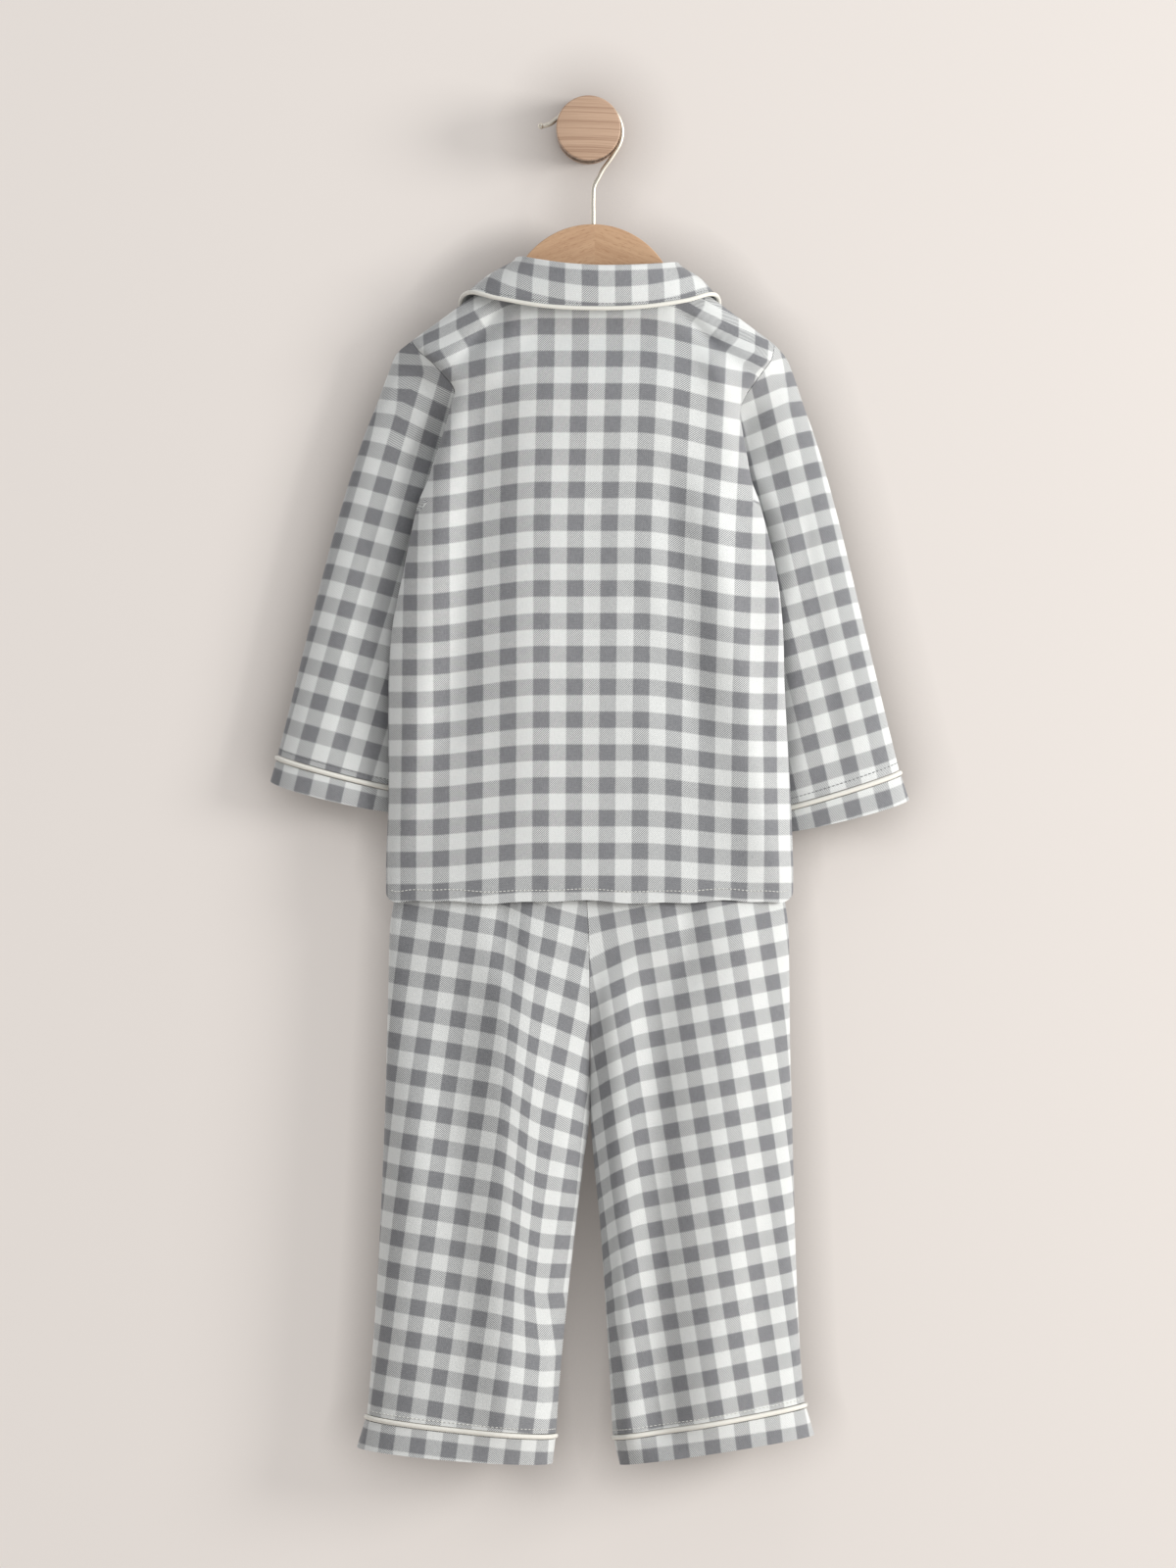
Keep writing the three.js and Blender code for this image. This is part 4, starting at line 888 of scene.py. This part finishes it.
def make_peg_wood():
    """Beech cut across, so its growth lines run level over the disc's face."""
    f = Finish("peg_beech", coat_weight=0.1, coat_roughness=0.4)
    x, y, z = f.node("ShaderNodeSeparateXYZ", None, {0: f.place()}, out=(0, 1, 2))
    bow = x * x * 1.2
    wander = f.noise(f.place(), 60.0, 2.0) * 0.0007
    level = z + bow + wander + x * 0.03
    rings = f.noise(f.spread(x * 6.0, y * 8.0, level * 1150.0), 1.0, 2.0, 0.6)
    fine = f.noise(f.spread(x * 60.0, y * 60.0, level * 1500.0), 1.0, 2.0)
    base = f.blend(fine, (0.44, 0.29, 0.195, 1), (0.52, 0.36, 0.255, 1))
    lines = ((rings - 0.5) * 5.0 + 0.25).clamp()
    f.colour(f.blend(lines * 0.66, base, (0.27, 0.155, 0.095, 1)))
    f.rough(0.5 + rings * 0.2)
    f.bump(rings * 0.5 + fine * 0.3, 0.00012, 0.5)
    return f.material


def make_wire():
    f = Finish("champagne_wire", metallic=1.0)
    place = f.place()
    drawn = f.noise(f.stretched(place, (900.0, 900.0, 60.0)), 1.0, 2.0)
    cloud = f.noise(place, 120.0)
    f.colour(f.blend(cloud, (0.66, 0.62, 0.54, 1), (0.76, 0.72, 0.64, 1)))
    f.rough(0.40 + drawn * 0.14)
    f.bump(drawn, 0.00003, 0.4)
    return f.material


def make_shell():
    f = Finish("pearly_button", coat_weight=0.6, coat_roughness=0.12)
    place = f.place()
    cloud = f.noise(place, 160.0, 3.0)
    layers = (f.noise(f.stretched(place, (90.0, 90.0, 420.0)), 1.0, 2.0) * 6.0).wave()
    pearl = f.blend(cloud, (0.78, 0.76, 0.71, 1), (0.87, 0.86, 0.83, 1))
    f.colour(f.blend((layers * 0.12 + 0.12).clamp(), pearl, (0.72, 0.74, 0.74, 1)))
    f.rough(0.22 + cloud * 0.12)
    f.bump(layers, 0.00003, 0.3)
    return f.material


GINGHAM, PIPING = make_gingham(), make_piping()
THREAD = make_thread("sewing_thread", (0.60, 0.60, 0.57, 1), (0.74, 0.735, 0.70, 1), 0.62)
GREY_THREAD = make_thread("grey_thread", (0.16, 0.165, 0.17, 1), (0.26, 0.265, 0.27, 1), 0.65)
HANGER_WOOD, PEG_WOOD, WIRE, SHELL = make_hanger_wood(), make_peg_wood(), make_wire(), make_shell()


# ------------------------------------------------------------------ the top

def share_of_turn(x):
    return math.acos(1 - 2 * (x - TIP_L[0]) / (TIP_R[0] - TIP_L[0])) / math.pi


NECK_TURN_L, NECK_TURN_R = share_of_turn(NECK_L[0]), share_of_turn(NECK_R[0])
STEEP_DOWNS = np.concatenate([[0, 0.001, 0.0025, 0.0045, 0.007, 0.01, 0.0135], np.linspace(0.018, 1, 158)])


def even_columns(count, *kept):
    """Columns evenly spaced across the width, with some columns kept at given places."""
    at = np.arccos(1 - 2 * np.linspace(0, 1, count)) / np.pi
    for place in kept:
        at[np.argmin(np.abs(at - place))] = place
    return at


def side_trim(points, on_left, on_right):
    """At the shoulders and side seams the wall ends in the seam's own plane."""
    def trim(normal):
        x, z = points[0, :, 0], points[..., 2]
        shoulder = (x <= NECK_L[0] + 1) | (x >= NECK_R[0] - 1)
        normal[0, shoulder, 1] = 0
        for column, seam in ((0, on_left), (-1, on_right)):
            if not seam:
                continue
            low = z[:, column] <= UNDERARM_Z
            wrap = SIDES.at("wrap", z[low, column])
            out = body_half(z[low, column], -wrap) * np.cos(wrap) * (-1 if column == 0 else 1)
            normal[low, column] = points_of(out, sides(z[low, column])[1] * np.sin(wrap), 0 * wrap)
        return normal
    return trim


def make_top_back():
    down, across = grid(STEEP_DOWNS, even_columns(112, NECK_TURN_L, NECK_TURN_R))
    points = back_points(across, down)
    checks = back_checks(points)
    thick = CLOTH + 0.7 * smooth((down - 0.978) / 0.003)
    piece = wall("top_back_cloth", points, checks, thick, outside=-1, trim=side_trim(points, True, True))
    fit(piece, "gingham", GINGHAM, "top_back")
    row = len(STEEP_DOWNS) - 4
    hem = stitching("hem_stitches_back", points[row, 5:-5] + [0, -0.15, 0], outward(points, row)[5:-5])
    fit(hem, "gingham", THREAD)


def outward(points, row):
    normal = np.cross(np.gradient(points, axis=1), np.gradient(points, axis=0))[row]
    normal[:, 2] = 0
    towards_room = np.sign(normal[len(normal) // 2, 1])
    return -towards_room * normal


def make_top_fronts():
    lap = 0.5 + PLACKET_TURN
    for side, start, stop, form in (("l", 0.0, lap, front_left_points), ("r", 1 - lap, 1.0, front_points)):
        across = even_columns(112, NECK_TURN_L, NECK_TURN_R)
        keep = across[(across > start) & (across < stop)]
        columns = np.concatenate([[start], keep, [stop]]) if start else np.concatenate([keep, [stop]])
        columns = np.unique(np.concatenate([columns, [0.0] if side == "l" else [1.0]]))
        down, across = grid(STEEP_DOWNS[::2], columns)
        points = form(across, down)
        flat = arc_from(points, PLACKET_X)
        checks = np.stack([flat / REPEAT + 0.25, -points[..., 2] / REPEAT], axis=-1)
        trim = side_trim(points, side == "l", side == "r")
        piece = wall(f"top_front_{side}_cloth", points, checks, CLOTH, trim=trim)
        fit(piece, "gingham", GINGHAM, f"top_front_{side}")
        row = len(down) - 3
        hem = stitching(f"hem_stitches_front_{side}", points[row, 4:-4] + [0, 0.15, 0], -outward(points, row)[4:-4])
        fit(hem, "gingham", THREAD)


SLEEVE_CHECKS = {
    "l": ((-167, -268), (0.0455, -0.0133), (-0.0127, -0.0456)),
    "r": ((156, -354), (0.0455, 0.0108), (0.0137, -0.0450)),
}
CUFF_CHECKS = {
    "l": ((-166, -434.5), (0.0455, -0.0110), (-0.0115, -0.0460)),
    "r": ((173, -444.5), (0.0455, 0.0110), (0.0135, -0.0460)),
}


def ring_columns(count):
    return np.linspace(0, 1, count + 1)


def make_sleeve(side):
    left = side == "l"
    outside = -1 if left else 1
    around_steps, down_steps = ring_columns(96), np.concatenate([[0, 0.006, 0.014], np.linspace(0.024, 1, 120)])
    down, around = grid(down_steps, around_steps)
    points = sleeve_points(side, around, down)
    low = (1 - np.cos(2 * np.pi * around[0])) / 2
    points[0] = towards(points[0], points[1], np.full(len(around_steps), 0.3))
    shift = (0.1 + 0.5 * low**3) * (-1 if left else 1)
    fade = 1 - smooth(down / 0.03)
    points[..., 0] += shift[None] * fade
    x, z = ring_flat(points)
    checks = ginghams(x, z, *SLEEVE_CHECKS[side])
    near_body = np.maximum(0, np.abs(x) * -1 + 130) * (np.abs(around - 0.25) < 0.25)
    checks[..., 1] -= (0.010 if left else 0.006) * near_body * smooth((z + 238) / 45)
    piece = wall(f"sleeve_{side}_cloth", points, both_sides(checks), CLOTH, outside=outside, ring=True)
    fit(piece, "gingham", GINGHAM, f"sleeve_{side}")

    end, bottom = sleeve_points(side, around_steps, np.ones_like(around_steps)), cuff_end_points(side, around_steps)
    top = towards(end, bottom, np.full(len(end), PIPED_WIDTH))
    downs = np.linspace(0, 1, 9)[:, None, None]
    cuff = mix(top[None], bottom[None], downs)
    bulge = np.sin(np.pi * downs[..., 0]) * 0.5
    cuff[..., 1] -= bulge * np.sin(2 * np.pi * around_steps)[None]
    checks = both_sides(ginghams(*ring_flat(cuff), *CUFF_CHECKS[side]))
    band = wall(f"cuff_{side}_cloth", cuff, checks, DOUBLE, outside=outside, ring=True)
    fit(band, "gingham", GINGHAM, f"cuff_{side}")

    line = towards(end, bottom, np.full(len(end), PIPED_MIDDLE))[:-1]
    piping = tube(f"cuff_piping_{side}", line, CORD_R + 0.2, closed=True)
    fit(piping, "piping", PIPING, f"piping_cuff_{side}")
    seam_row = int(np.argmin(np.abs(down_steps - 0.985)))
    normal = -np.cross(np.gradient(points, axis=1), np.gradient(points, axis=0))[seam_row] * (1 if left else -1)
    stitches = stitching(f"cuff_stitches_{side}", points[seam_row] + normal / 60, normal, spacing=2.8)
    fit(stitches, "gingham", GREY_THREAD)


def make_collar():
    turn, along = np.meshgrid(np.linspace(-158, 158, 141), np.linspace(0, 1, 37))
    points = collar_points(turn, along)
    step = np.linalg.norm(np.diff(points, axis=0), axis=-1)
    climbed = np.concatenate([np.zeros((1, points.shape[1])), np.cumsum(step, axis=0)])
    below_roll = climbed - climbed[18:19]
    checks = np.stack([arc_from(points, 1.0) / 21.8, (below_roll - 10.5) / 21.5], axis=-1)
    piece = wall("collar_cloth", points, checks, DOUBLE, outside=-1)
    fit(piece, "gingham", GINGHAM, "collar")
    line = towards(points[-1], points[-4], np.full(points.shape[1], -CORD_R - 0.2))
    piping = tube("collar_piping", line, CORD_R, sides=12)
    fit(piping, "piping", PIPING, "piping_collar")
    normal = -np.cross(np.gradient(points, axis=1), np.gradient(points, axis=0))
    row = 35
    stitches = stitching("collar_stitches", points[row, 2:-2], normal[row, 2:-2], long=1.5, spacing=2.4, radius=0.2)
    fit(stitches, "gingham", GREY_THREAD)


# ------------------------------------------------------------------ the trousers

HEM_CHECKS = {
    "l": ((-91, -863), (0.0480, -0.0060), (-0.0060, -0.0480)),
    "r": ((81, -861.5), (0.0485, 0.0060), (0.0070, -0.0480)),
}


def make_leg(side):
    left = side == "l"
    end = LEG_ENDS[side]
    crotch_row = (CROTCH_Z - LEG_TOP_Z) / (end[1] - LEG_TOP_Z)
    downs = np.linspace(0, 1, 151)
    downs[2 * round(75 * crotch_row)] = crotch_row
    for face in ("back", "front"):
        rows, columns = (downs, 66) if face == "back" else (downs[::2], 34)
        down, across = grid(rows, np.linspace(0, 1, columns))
        points = leg_points(side, face, across, down)
        checks = leg_checks(points, side)
        outside = -1 if left == (face == "back") else 1

        def trim(normal, points=points):
            z = points[:, -1, 2]
            normal[:, 0, 1] = 0
            normal[z > CROTCH_Z, -1, 0] = 0
            normal[z < CROTCH_Z, -1, 1] = 0
            normal[np.abs(z - CROTCH_Z) < 1.5, -1] = (0, 0, -1)
            return normal

        piece = wall(f"trouser_{face}_{side}_cloth", points, checks, CLOTH, outside=outside, trim=trim)
        fit(piece, "gingham", GINGHAM, f"trouser_{face}_{side}")
        if face == "back":
            seam_row = int(np.argmin(np.abs(downs - 0.992)))
            normal = np.cross(np.gradient(points, axis=1), np.gradient(points, axis=0))[seam_row] * outside
            row = points[seam_row, 2:-2] + (normal / np.linalg.norm(normal, axis=-1, keepdims=True) * 0.1)[2:-2]
            stitches = stitching(f"hem_seam_stitches_{side}", row, normal[2:-2], spacing=2.8)
            fit(stitches, "gingham", THREAD)

    around = ring_columns(96)
    top_ring, bottom = leg_ring(side, around), hem_end_points(side, around)
    top = towards(top_ring, bottom, np.full(len(around), PIPED_WIDTH))
    downs = np.linspace(0, 1, 9)[:, None, None]
    band_points = mix(top[None], bottom[None], downs)
    checks = ginghams(*ring_flat(band_points), *HEM_CHECKS[side])
    band = wall(f"hem_band_{side}_cloth", band_points, checks, DOUBLE, outside=-1 if left else 1, ring=True)
    fit(band, "gingham", GINGHAM, f"hem_band_{side}")
    line = towards(top_ring, bottom, np.full(len(around), PIPED_MIDDLE))[:-1]
    piping = tube(f"hem_piping_{side}", line, CORD_R + 0.2, closed=True)
    fit(piping, "piping", PIPING, f"piping_hem_{side}")


WAIST_ROWS = 12
GATHER_DEEP, GATHER_LONG, GATHERED_REPEAT = 0.25, 2.4, 14.0


def make_waistband():
    half = np.linspace(0, 1, 40)
    parts = []
    for side, face, order in (("l", "back", 1), ("r", "back", -1), ("r", "front", 1), ("l", "front", -1)):
        row = leg_points(side, face, half, np.zeros_like(half))[::order]
        if face == "front":
            parts.append(row[1:-1])
        else:
            parts.append(row[:-1] if order > 0 else row[1:])
    ring = np.concatenate(parts)
    ring = np.concatenate([ring, ring[:1]])
    down = np.linspace(0, 1, WAIST_ROWS)[:, None]
    points = np.repeat(ring[None], WAIST_ROWS, axis=0)
    points[..., 2] = mix(WAIST_TOP_Z, LEG_TOP_Z + SEAM, down)
    length = np.concatenate([[0], np.cumsum(np.linalg.norm(np.diff(ring, axis=0), axis=-1))])[None]
    points[..., 1] += GATHER_DEEP * np.sin(length / GATHER_LONG) * np.sin(np.pi * down)
    across = np.repeat(length, WAIST_ROWS, axis=0) / GATHERED_REPEAT
    checks = np.stack([across, -points[..., 2] / REPEAT], axis=-1)
    piece = wall("waistband_cloth", points, checks, ELASTIC - 0.6, outside=-1, ring=True)
    fit(piece, "gingham", GINGHAM, "waistband")


# ------------------------------------------------------------------ buttons, hanger and peg

BUTTON_R, BUTTON_THICK, BUTTON_RIM = 5.5, 2.2, 1.1
HOLE_R, HOLE_OFF = 0.75, 1.15  # a hole, and how far it is from the middle both ways
BUTTONS = [f"button_{k}" for k in range(1, 5)]


def middle_of(node):
    low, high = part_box(node)
    return (Vector(low) + Vector(high)) / 2


def make_button_blank():
    """A dished disc with a rim and four holes, turned to face the wall."""
    bpy.ops.object.select_all(action="DESELECT")
    bpy.ops.mesh.primitive_cylinder_add(vertices=48, radius=BUTTON_R * MM, depth=BUTTON_THICK * MM,
                                        location=(0, 0, 0))
    blank = bpy.context.object
    blank.name = "shell_button_1"
    bpy.ops.object.mode_set(mode="EDIT")
    bpy.ops.mesh.select_all(action="DESELECT")
    bpy.ops.object.mode_set(mode="OBJECT")
    for face in blank.data.polygons:
        face.select = face.normal.z > 0.9
    bpy.ops.object.mode_set(mode="EDIT")
    bpy.ops.mesh.inset(thickness=BUTTON_RIM * MM)
    bpy.ops.mesh.inset(thickness=0.35 * MM)
    bpy.ops.transform.translate(value=(0, 0, -0.7 * MM))
    bpy.ops.object.mode_set(mode="OBJECT")
    for x in (-1, 1):
        for y in (-1, 1):
            bpy.ops.mesh.primitive_cylinder_add(vertices=20, radius=HOLE_R * MM, depth=4 * MM,
                                                location=(x * HOLE_OFF * MM, y * HOLE_OFF * MM, 0))
            combine(blank, bpy.context.object, "DIFFERENCE")
    round_edges(blank, 0.25, 2, 30)
    bpy.ops.object.mode_set(mode="EDIT")
    bpy.ops.mesh.select_all(action="SELECT")
    bpy.ops.transform.rotate(value=math.radians(90), orient_axis="X", center_override=(0, 0, 0))
    bpy.ops.object.mode_set(mode="OBJECT")
    if max(v.co.y for v in blank.data.vertices) < 0:
        blank.data.flip_normals()
    bpy.ops.object.shade_smooth_by_angle(angle=math.radians(35))
    return blank


def make_buttons():
    blank = make_button_blank()
    for node in BUTTONS:
        mesh = blank.data.copy()
        piece = bpy.data.objects.new(f"shell_{node}", mesh)
        bpy.context.scene.collection.objects.link(piece)
        for vertex in mesh.vertices:
            vertex.co += middle_of(node)
        fit(piece, "button", SHELL, node)
    bpy.data.objects.remove(blank)


def make_button_threads():
    """A cross of thread through each button's four holes."""
    for node in BUTTONS:
        centre = middle_of(node) / MM
        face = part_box(node)[1][1] / MM - 0.9
        for number, lean in enumerate((1, -1)):
            ends = [(centre.x + way * HOLE_OFF, centre.z + way * lean * HOLE_OFF) for way in (-1, 1)]
            path = [(ends[0][0], face - 1.2, ends[0][1]), (ends[0][0], face, ends[0][1]),
                    (centre.x, face + 0.45, centre.z),
                    (ends[1][0], face, ends[1][1]), (ends[1][0], face - 1.2, ends[1][1])]
            thread = tube(f"button_thread_{node[-1]}_{number}", path, 0.32, sides=8)
            fit(thread, "button", THREAD)


WIRE_R, KNOB_R = 1.55, 2.05
HOOK_TOP, HOOK_R, HOOK_BULGE = 19.15, 21.3, 1.1
HOOK_STEM = (
    (3.2, -74.0), (3.2, -66), (3.2, -56), (3.2, -44), (3.8, -37.5), (6.8, -31.5), (9.6, -26.2), (14.0, -20.2),
)
HOOK_TIP = ((-21.2, 6.6), (-24.4, 4.0), (-27.8, 2.6), (-31.0, 2.2))


def hook_line():
    """The wire's line from inside the bar, over the peg's neck and out to its tip."""
    middle_x, middle_z = -0.3, HOOK_TOP - HOOK_R
    path = list(HOOK_STEM)
    for angle in np.radians(np.linspace(-32, 152, 24)):
        out = HOOK_R + HOOK_BULGE * max(0, math.cos(angle - 0.25)) ** 2
        path.append((middle_x + out * math.cos(angle), middle_z + out * math.sin(angle)))
    return smooth_line([(x, HANG_Y, z) for x, z in (*path, *HOOK_TIP)], 110)


def make_hook():
    """The wire: a round of its section is extruded step by step along the hook's line."""
    line = hook_line()
    bpy.ops.object.select_all(action="DESELECT")
    bpy.ops.mesh.primitive_circle_add(vertices=16, radius=WIRE_R * MM, fill_type="NGON",
                                      location=Vector(line[0]) * MM)
    piece = bpy.context.object
    piece.name = "hook_wire"
    bpy.ops.object.mode_set(mode="EDIT")
    bpy.ops.mesh.select_all(action="SELECT")
    for before, here, after in zip(line[:-1], line[1:], np.concatenate([line[2:], line[-1:]])):
        bpy.ops.mesh.extrude_region_move(TRANSFORM_OT_translate={"value": Vector(here - before) * MM})
        was = here - before
        now = after - here if np.linalg.norm(after - here) > 1e-6 else was
        turn = math.atan2(now[0], now[2]) - math.atan2(was[0], was[2])
        turn = (turn + math.pi) % (2 * math.pi) - math.pi
        if abs(turn) > 1e-5:
            bpy.ops.transform.rotate(value=-turn, orient_axis="Y", center_override=Vector(here) * MM)
    bpy.ops.object.mode_set(mode="OBJECT")
    settle(piece)
    face_outwards(piece)
    bpy.ops.mesh.primitive_uv_sphere_add(segments=24, ring_count=16, radius=KNOB_R * MM,
                                         location=Vector(line[-1]) * MM)
    combine(piece, bpy.context.object, "UNION")
    bpy.ops.object.shade_smooth_by_angle(angle=math.radians(50))
    fit(piece, "hook_wire", WIRE, "hanger_hook")


def smooth_line(points, count):
    points = np.asarray(points, dtype=float)
    length = np.concatenate([[0], np.cumsum(np.linalg.norm(np.diff(points, axis=0), axis=-1))])
    rows = Table("at x y z", *np.column_stack([length, points]))
    at = np.linspace(0, length[-1], count)
    return np.stack([rows.at(k, at) for k in ("x", "y", "z")], axis=-1)


def settle(piece):
    """Puts a piece's place into its mesh."""
    alone(piece)
    bpy.ops.object.transform_apply(location=True, rotation=True, scale=True)


HUMP = (2.7, -117.2, 55.0)
BAR_NECKS = (-50.8, 56.0)
BAR_ARMS = ((-94.0, -127.3), (99.0, -128.8))
BAR_HIGH, BAR_HALF_THICK = 15.0, 4.5
BAR_LOWER_BOW = 37.5  # how far the lower edge rises towards the middle
BAR_END, BAR_END_HIGH = 0.03, 0.45  # the share of the length that narrows at each end, and how far
BORE_R, BORE_DEEP = 2.1, 12.0


def bar_top(x):
    hump = HUMP[1] + np.sqrt(np.maximum(0, HUMP[2] ** 2 - (x - HUMP[0]) ** 2))
    neck_z = [HUMP[1] + math.sqrt(HUMP[2] ** 2 - (n - HUMP[0]) ** 2) for n in BAR_NECKS]
    left = mix(BAR_ARMS[0][1], neck_z[0], (x - BAR_ARMS[0][0]) / (BAR_NECKS[0] - BAR_ARMS[0][0]))
    right = mix(neck_z[1], BAR_ARMS[1][1], (x - BAR_NECKS[1]) / (BAR_ARMS[1][0] - BAR_NECKS[1]))
    return np.where(x < BAR_NECKS[0], left, np.where(x > BAR_NECKS[1], right, hump))


def make_bar():
    """The bar: a flat strip is bent to the hump and the arms, thickened, and its edges are rounded."""
    bpy.ops.object.select_all(action="DESELECT")
    bpy.ops.mesh.primitive_grid_add(x_subdivisions=120, y_subdivisions=6, size=1, location=(0, 0, 0))
    piece = bpy.context.object
    piece.name = "hanger_beech_bar"
    left, right = BAR_ARMS
    for vertex in piece.data.vertices:
        across, up = vertex.co.x + 0.5, vertex.co.y + 0.5
        x = mix(left[0], right[0], across)
        bow = 1 - (2 * across - 1) ** 2
        low = mix(left[1], right[1], across) - BAR_HIGH + BAR_LOWER_BOW * bow
        end = smooth(np.minimum(across, 1 - across) / BAR_END) ** 0.5
        top = float(bar_top(np.array(x)))
        middle = (top + low) / 2
        half = (top - low) / 2 * mix(BAR_END_HIGH, 1.0, float(end))
        vertex.co = Vector((x * MM, (HANG_Y - BAR_HALF_THICK) * MM, (middle + half * (2 * up - 1)) * MM))
    alone(piece)
    bpy.ops.object.mode_set(mode="EDIT")
    bpy.ops.mesh.select_all(action="SELECT")
    bpy.ops.mesh.extrude_region_move(TRANSFORM_OT_translate={"value": (0, 2 * BAR_HALF_THICK * MM, 0)})
    bpy.ops.object.mode_set(mode="OBJECT")
    face_outwards(piece)
    round_edges(piece, 2.2, 4, 40)
    bpy.ops.mesh.primitive_cylinder_add(vertices=24, radius=BORE_R * MM, depth=2 * BORE_DEEP * MM,
                                        location=(HOOK_STEM[0][0] * MM, HANG_Y * MM, (HUMP[1] + HUMP[2]) * MM))
    combine(piece, bpy.context.object, "DIFFERENCE")
    bpy.ops.object.shade_smooth_by_angle(angle=math.radians(35))
    fit(piece, "hanger_wood", HANGER_WOOD, "hanger_bar")


def make_peg():
    """The peg, turned from one blank: a neck with a disc on its end."""
    neck_r, disc_r, neck_long, disc_thick = 17.3, 21.1, 46.0, 12.0
    bpy.ops.object.select_all(action="DESELECT")
    bpy.ops.mesh.primitive_cylinder_add(vertices=128, radius=neck_r * MM, depth=neck_long * MM,
                                        location=(0, -neck_long / 2 * MM, 0), rotation=(math.radians(90), 0, 0))
    piece = bpy.context.object
    piece.name = "peg_beech"
    settle(piece)
    for face in piece.data.polygons:
        face.select = face.normal.y < -0.9
    bpy.ops.object.mode_set(mode="EDIT")
    bpy.ops.mesh.extrude_region_move(TRANSFORM_OT_translate={"value": (0, -0.01 * MM, 0)})
    grow = disc_r / neck_r
    bpy.ops.transform.resize(value=(grow, 1, grow), center_override=(0, -neck_long * MM, 0))
    bpy.ops.mesh.extrude_region_move(TRANSFORM_OT_translate={"value": (0, -disc_thick * MM, 0)})
    bpy.ops.mesh.inset(thickness=2.0 * MM)
    bpy.ops.transform.translate(value=(0, -0.12 * MM, 0))
    bpy.ops.object.mode_set(mode="OBJECT")
    round_edges(piece, 0.9, 4, 60)
    bpy.ops.object.shade_smooth_by_angle(angle=math.radians(30))
    fit(piece, "peg_wood", PEG_WOOD, "peg")


# ------------------------------------------------------------------ room, light and camera

PAINTED_SHADE_REACH = 0.045  # how near the cloth the staged wall takes its painted shade
# the dark brown of the painted shade on the staged wall and floor close to the set
PAINTED_SHADE_TONE = (0.05, 0.035, 0.025, 1)
STAGE_GLOW = 1.14


def make_stage():
    """The wall and floor. Each half glows by itself, so it stays pale, and close to the set it takes a painted
    shade: an occlusion node dims its glow and turns its colour dark brown.
    """
    def paint(name, colour):
        f = Finish(name, roughness=1.0)
        f.tree.nodes.remove(f.shader)
        mottle = f.noise(f.place(), 1.4, 2.0)
        tone = f.blend(mottle, colour, tuple(min(1, c * 1.03) for c in colour[:3]) + (1,))
        # painted shade: where the occlusion node finds cloth near, the colour blends to dark brown and the glow
        # dims
        open_sky = f.node("ShaderNodeAmbientOcclusion", {"samples": 16}, {"Distance": PAINTED_SHADE_REACH}, out="AO")
        painted_shade = f.blend(open_sky, PAINTED_SHADE_TONE, tone)
        lit = f.node("ShaderNodeBsdfDiffuse", None, {"Color": tone})
        glow = f.node("ShaderNodeEmission", None, {"Color": painted_shade, "Strength": open_sky * STAGE_GLOW})
        face = f.node("ShaderNodeMixShader", None, {0: 0.5, 1: lit, 2: glow})
        clear = f.node("ShaderNodeBsdfTransparent")
        hidden = f.node("ShaderNodeNewGeometry", None, None, out="Backfacing")
        shadow = f.node("ShaderNodeLightPath", None, None, out="Is Shadow Ray")
        through = hidden.maths("MAXIMUM", hidden, shadow)
        shown = f.node("ShaderNodeMixShader", None, {0: through, 1: face, 2: clear})
        f.tree.links.new(shown.socket, f.tree.nodes["Material Output"].inputs["Surface"])
        return f.material

    for name, centre, turn, colour in (
        ("backdrop", (0, 0.0005, 0.3), (math.radians(90), 0, 0), (0.70, 0.655, 0.62, 1)),
        ("floor", (0, -1.5, -1.08), (0, 0, 0), (0.66, 0.63, 0.60, 1)),
    ):
        bpy.ops.mesh.primitive_plane_add(size=6, location=centre, rotation=turn)
        plane = bpy.context.object
        plane.name = name
        plane.data.materials.append(paint(f"{name}_paint", colour))


def make_light(name, place, aim, size, watts, colour=(1, 1, 1)):
    data = bpy.data.lights.new(name, "AREA")
    data.shape, data.size, data.energy, data.color = "DISK", size, watts, colour
    lamp = bpy.data.objects.new(name, data)
    lamp.location = place
    lamp.rotation_euler = (Vector(aim) - Vector(place)).to_track_quat("-Z", "Y").to_euler()
    bpy.context.scene.collection.objects.link(lamp)


def make_room():
    make_stage()
    world = bpy.data.worlds.new("soft_room")
    world.use_nodes = True
    world.node_tree.nodes["Background"].inputs["Color"].default_value = (0.96, 0.975, 1.0, 1)
    world.node_tree.nodes["Background"].inputs["Strength"].default_value = 0.56
    bpy.context.scene.world = world
    make_light("window", (2.5, -1.55, 0.1), (0, 0, -0.48), 1.1, 80, (1, 0.99, 0.97))
    make_light("overhead", (0.2, -1.2, 1.5), (0, 0, -0.3), 1.2, 5)
    make_light("behind", (-1.2, 1.8, 0.3), (0, 0, -0.45), 1.4, 12)

    camera = bpy.data.cameras.new("camera")
    camera.sensor_width, camera.lens = 36, 281.25
    holder = bpy.data.objects.new("camera", camera)
    holder.location = (-0.0003, -8.055, -0.4285)
    holder.rotation_euler = (math.radians(90), 0, 0)
    bpy.context.scene.collection.objects.link(holder)
    bpy.context.scene.camera = holder
    bpy.context.scene.view_settings.view_transform = "Standard"


make_peg()
make_hook()
make_bar()
make_top_back()
make_top_fronts()
make_collar()
for part_side in ("l", "r"):
    make_sleeve(part_side)
    make_leg(part_side)
make_waistband()
make_buttons()
make_button_threads()
make_room()
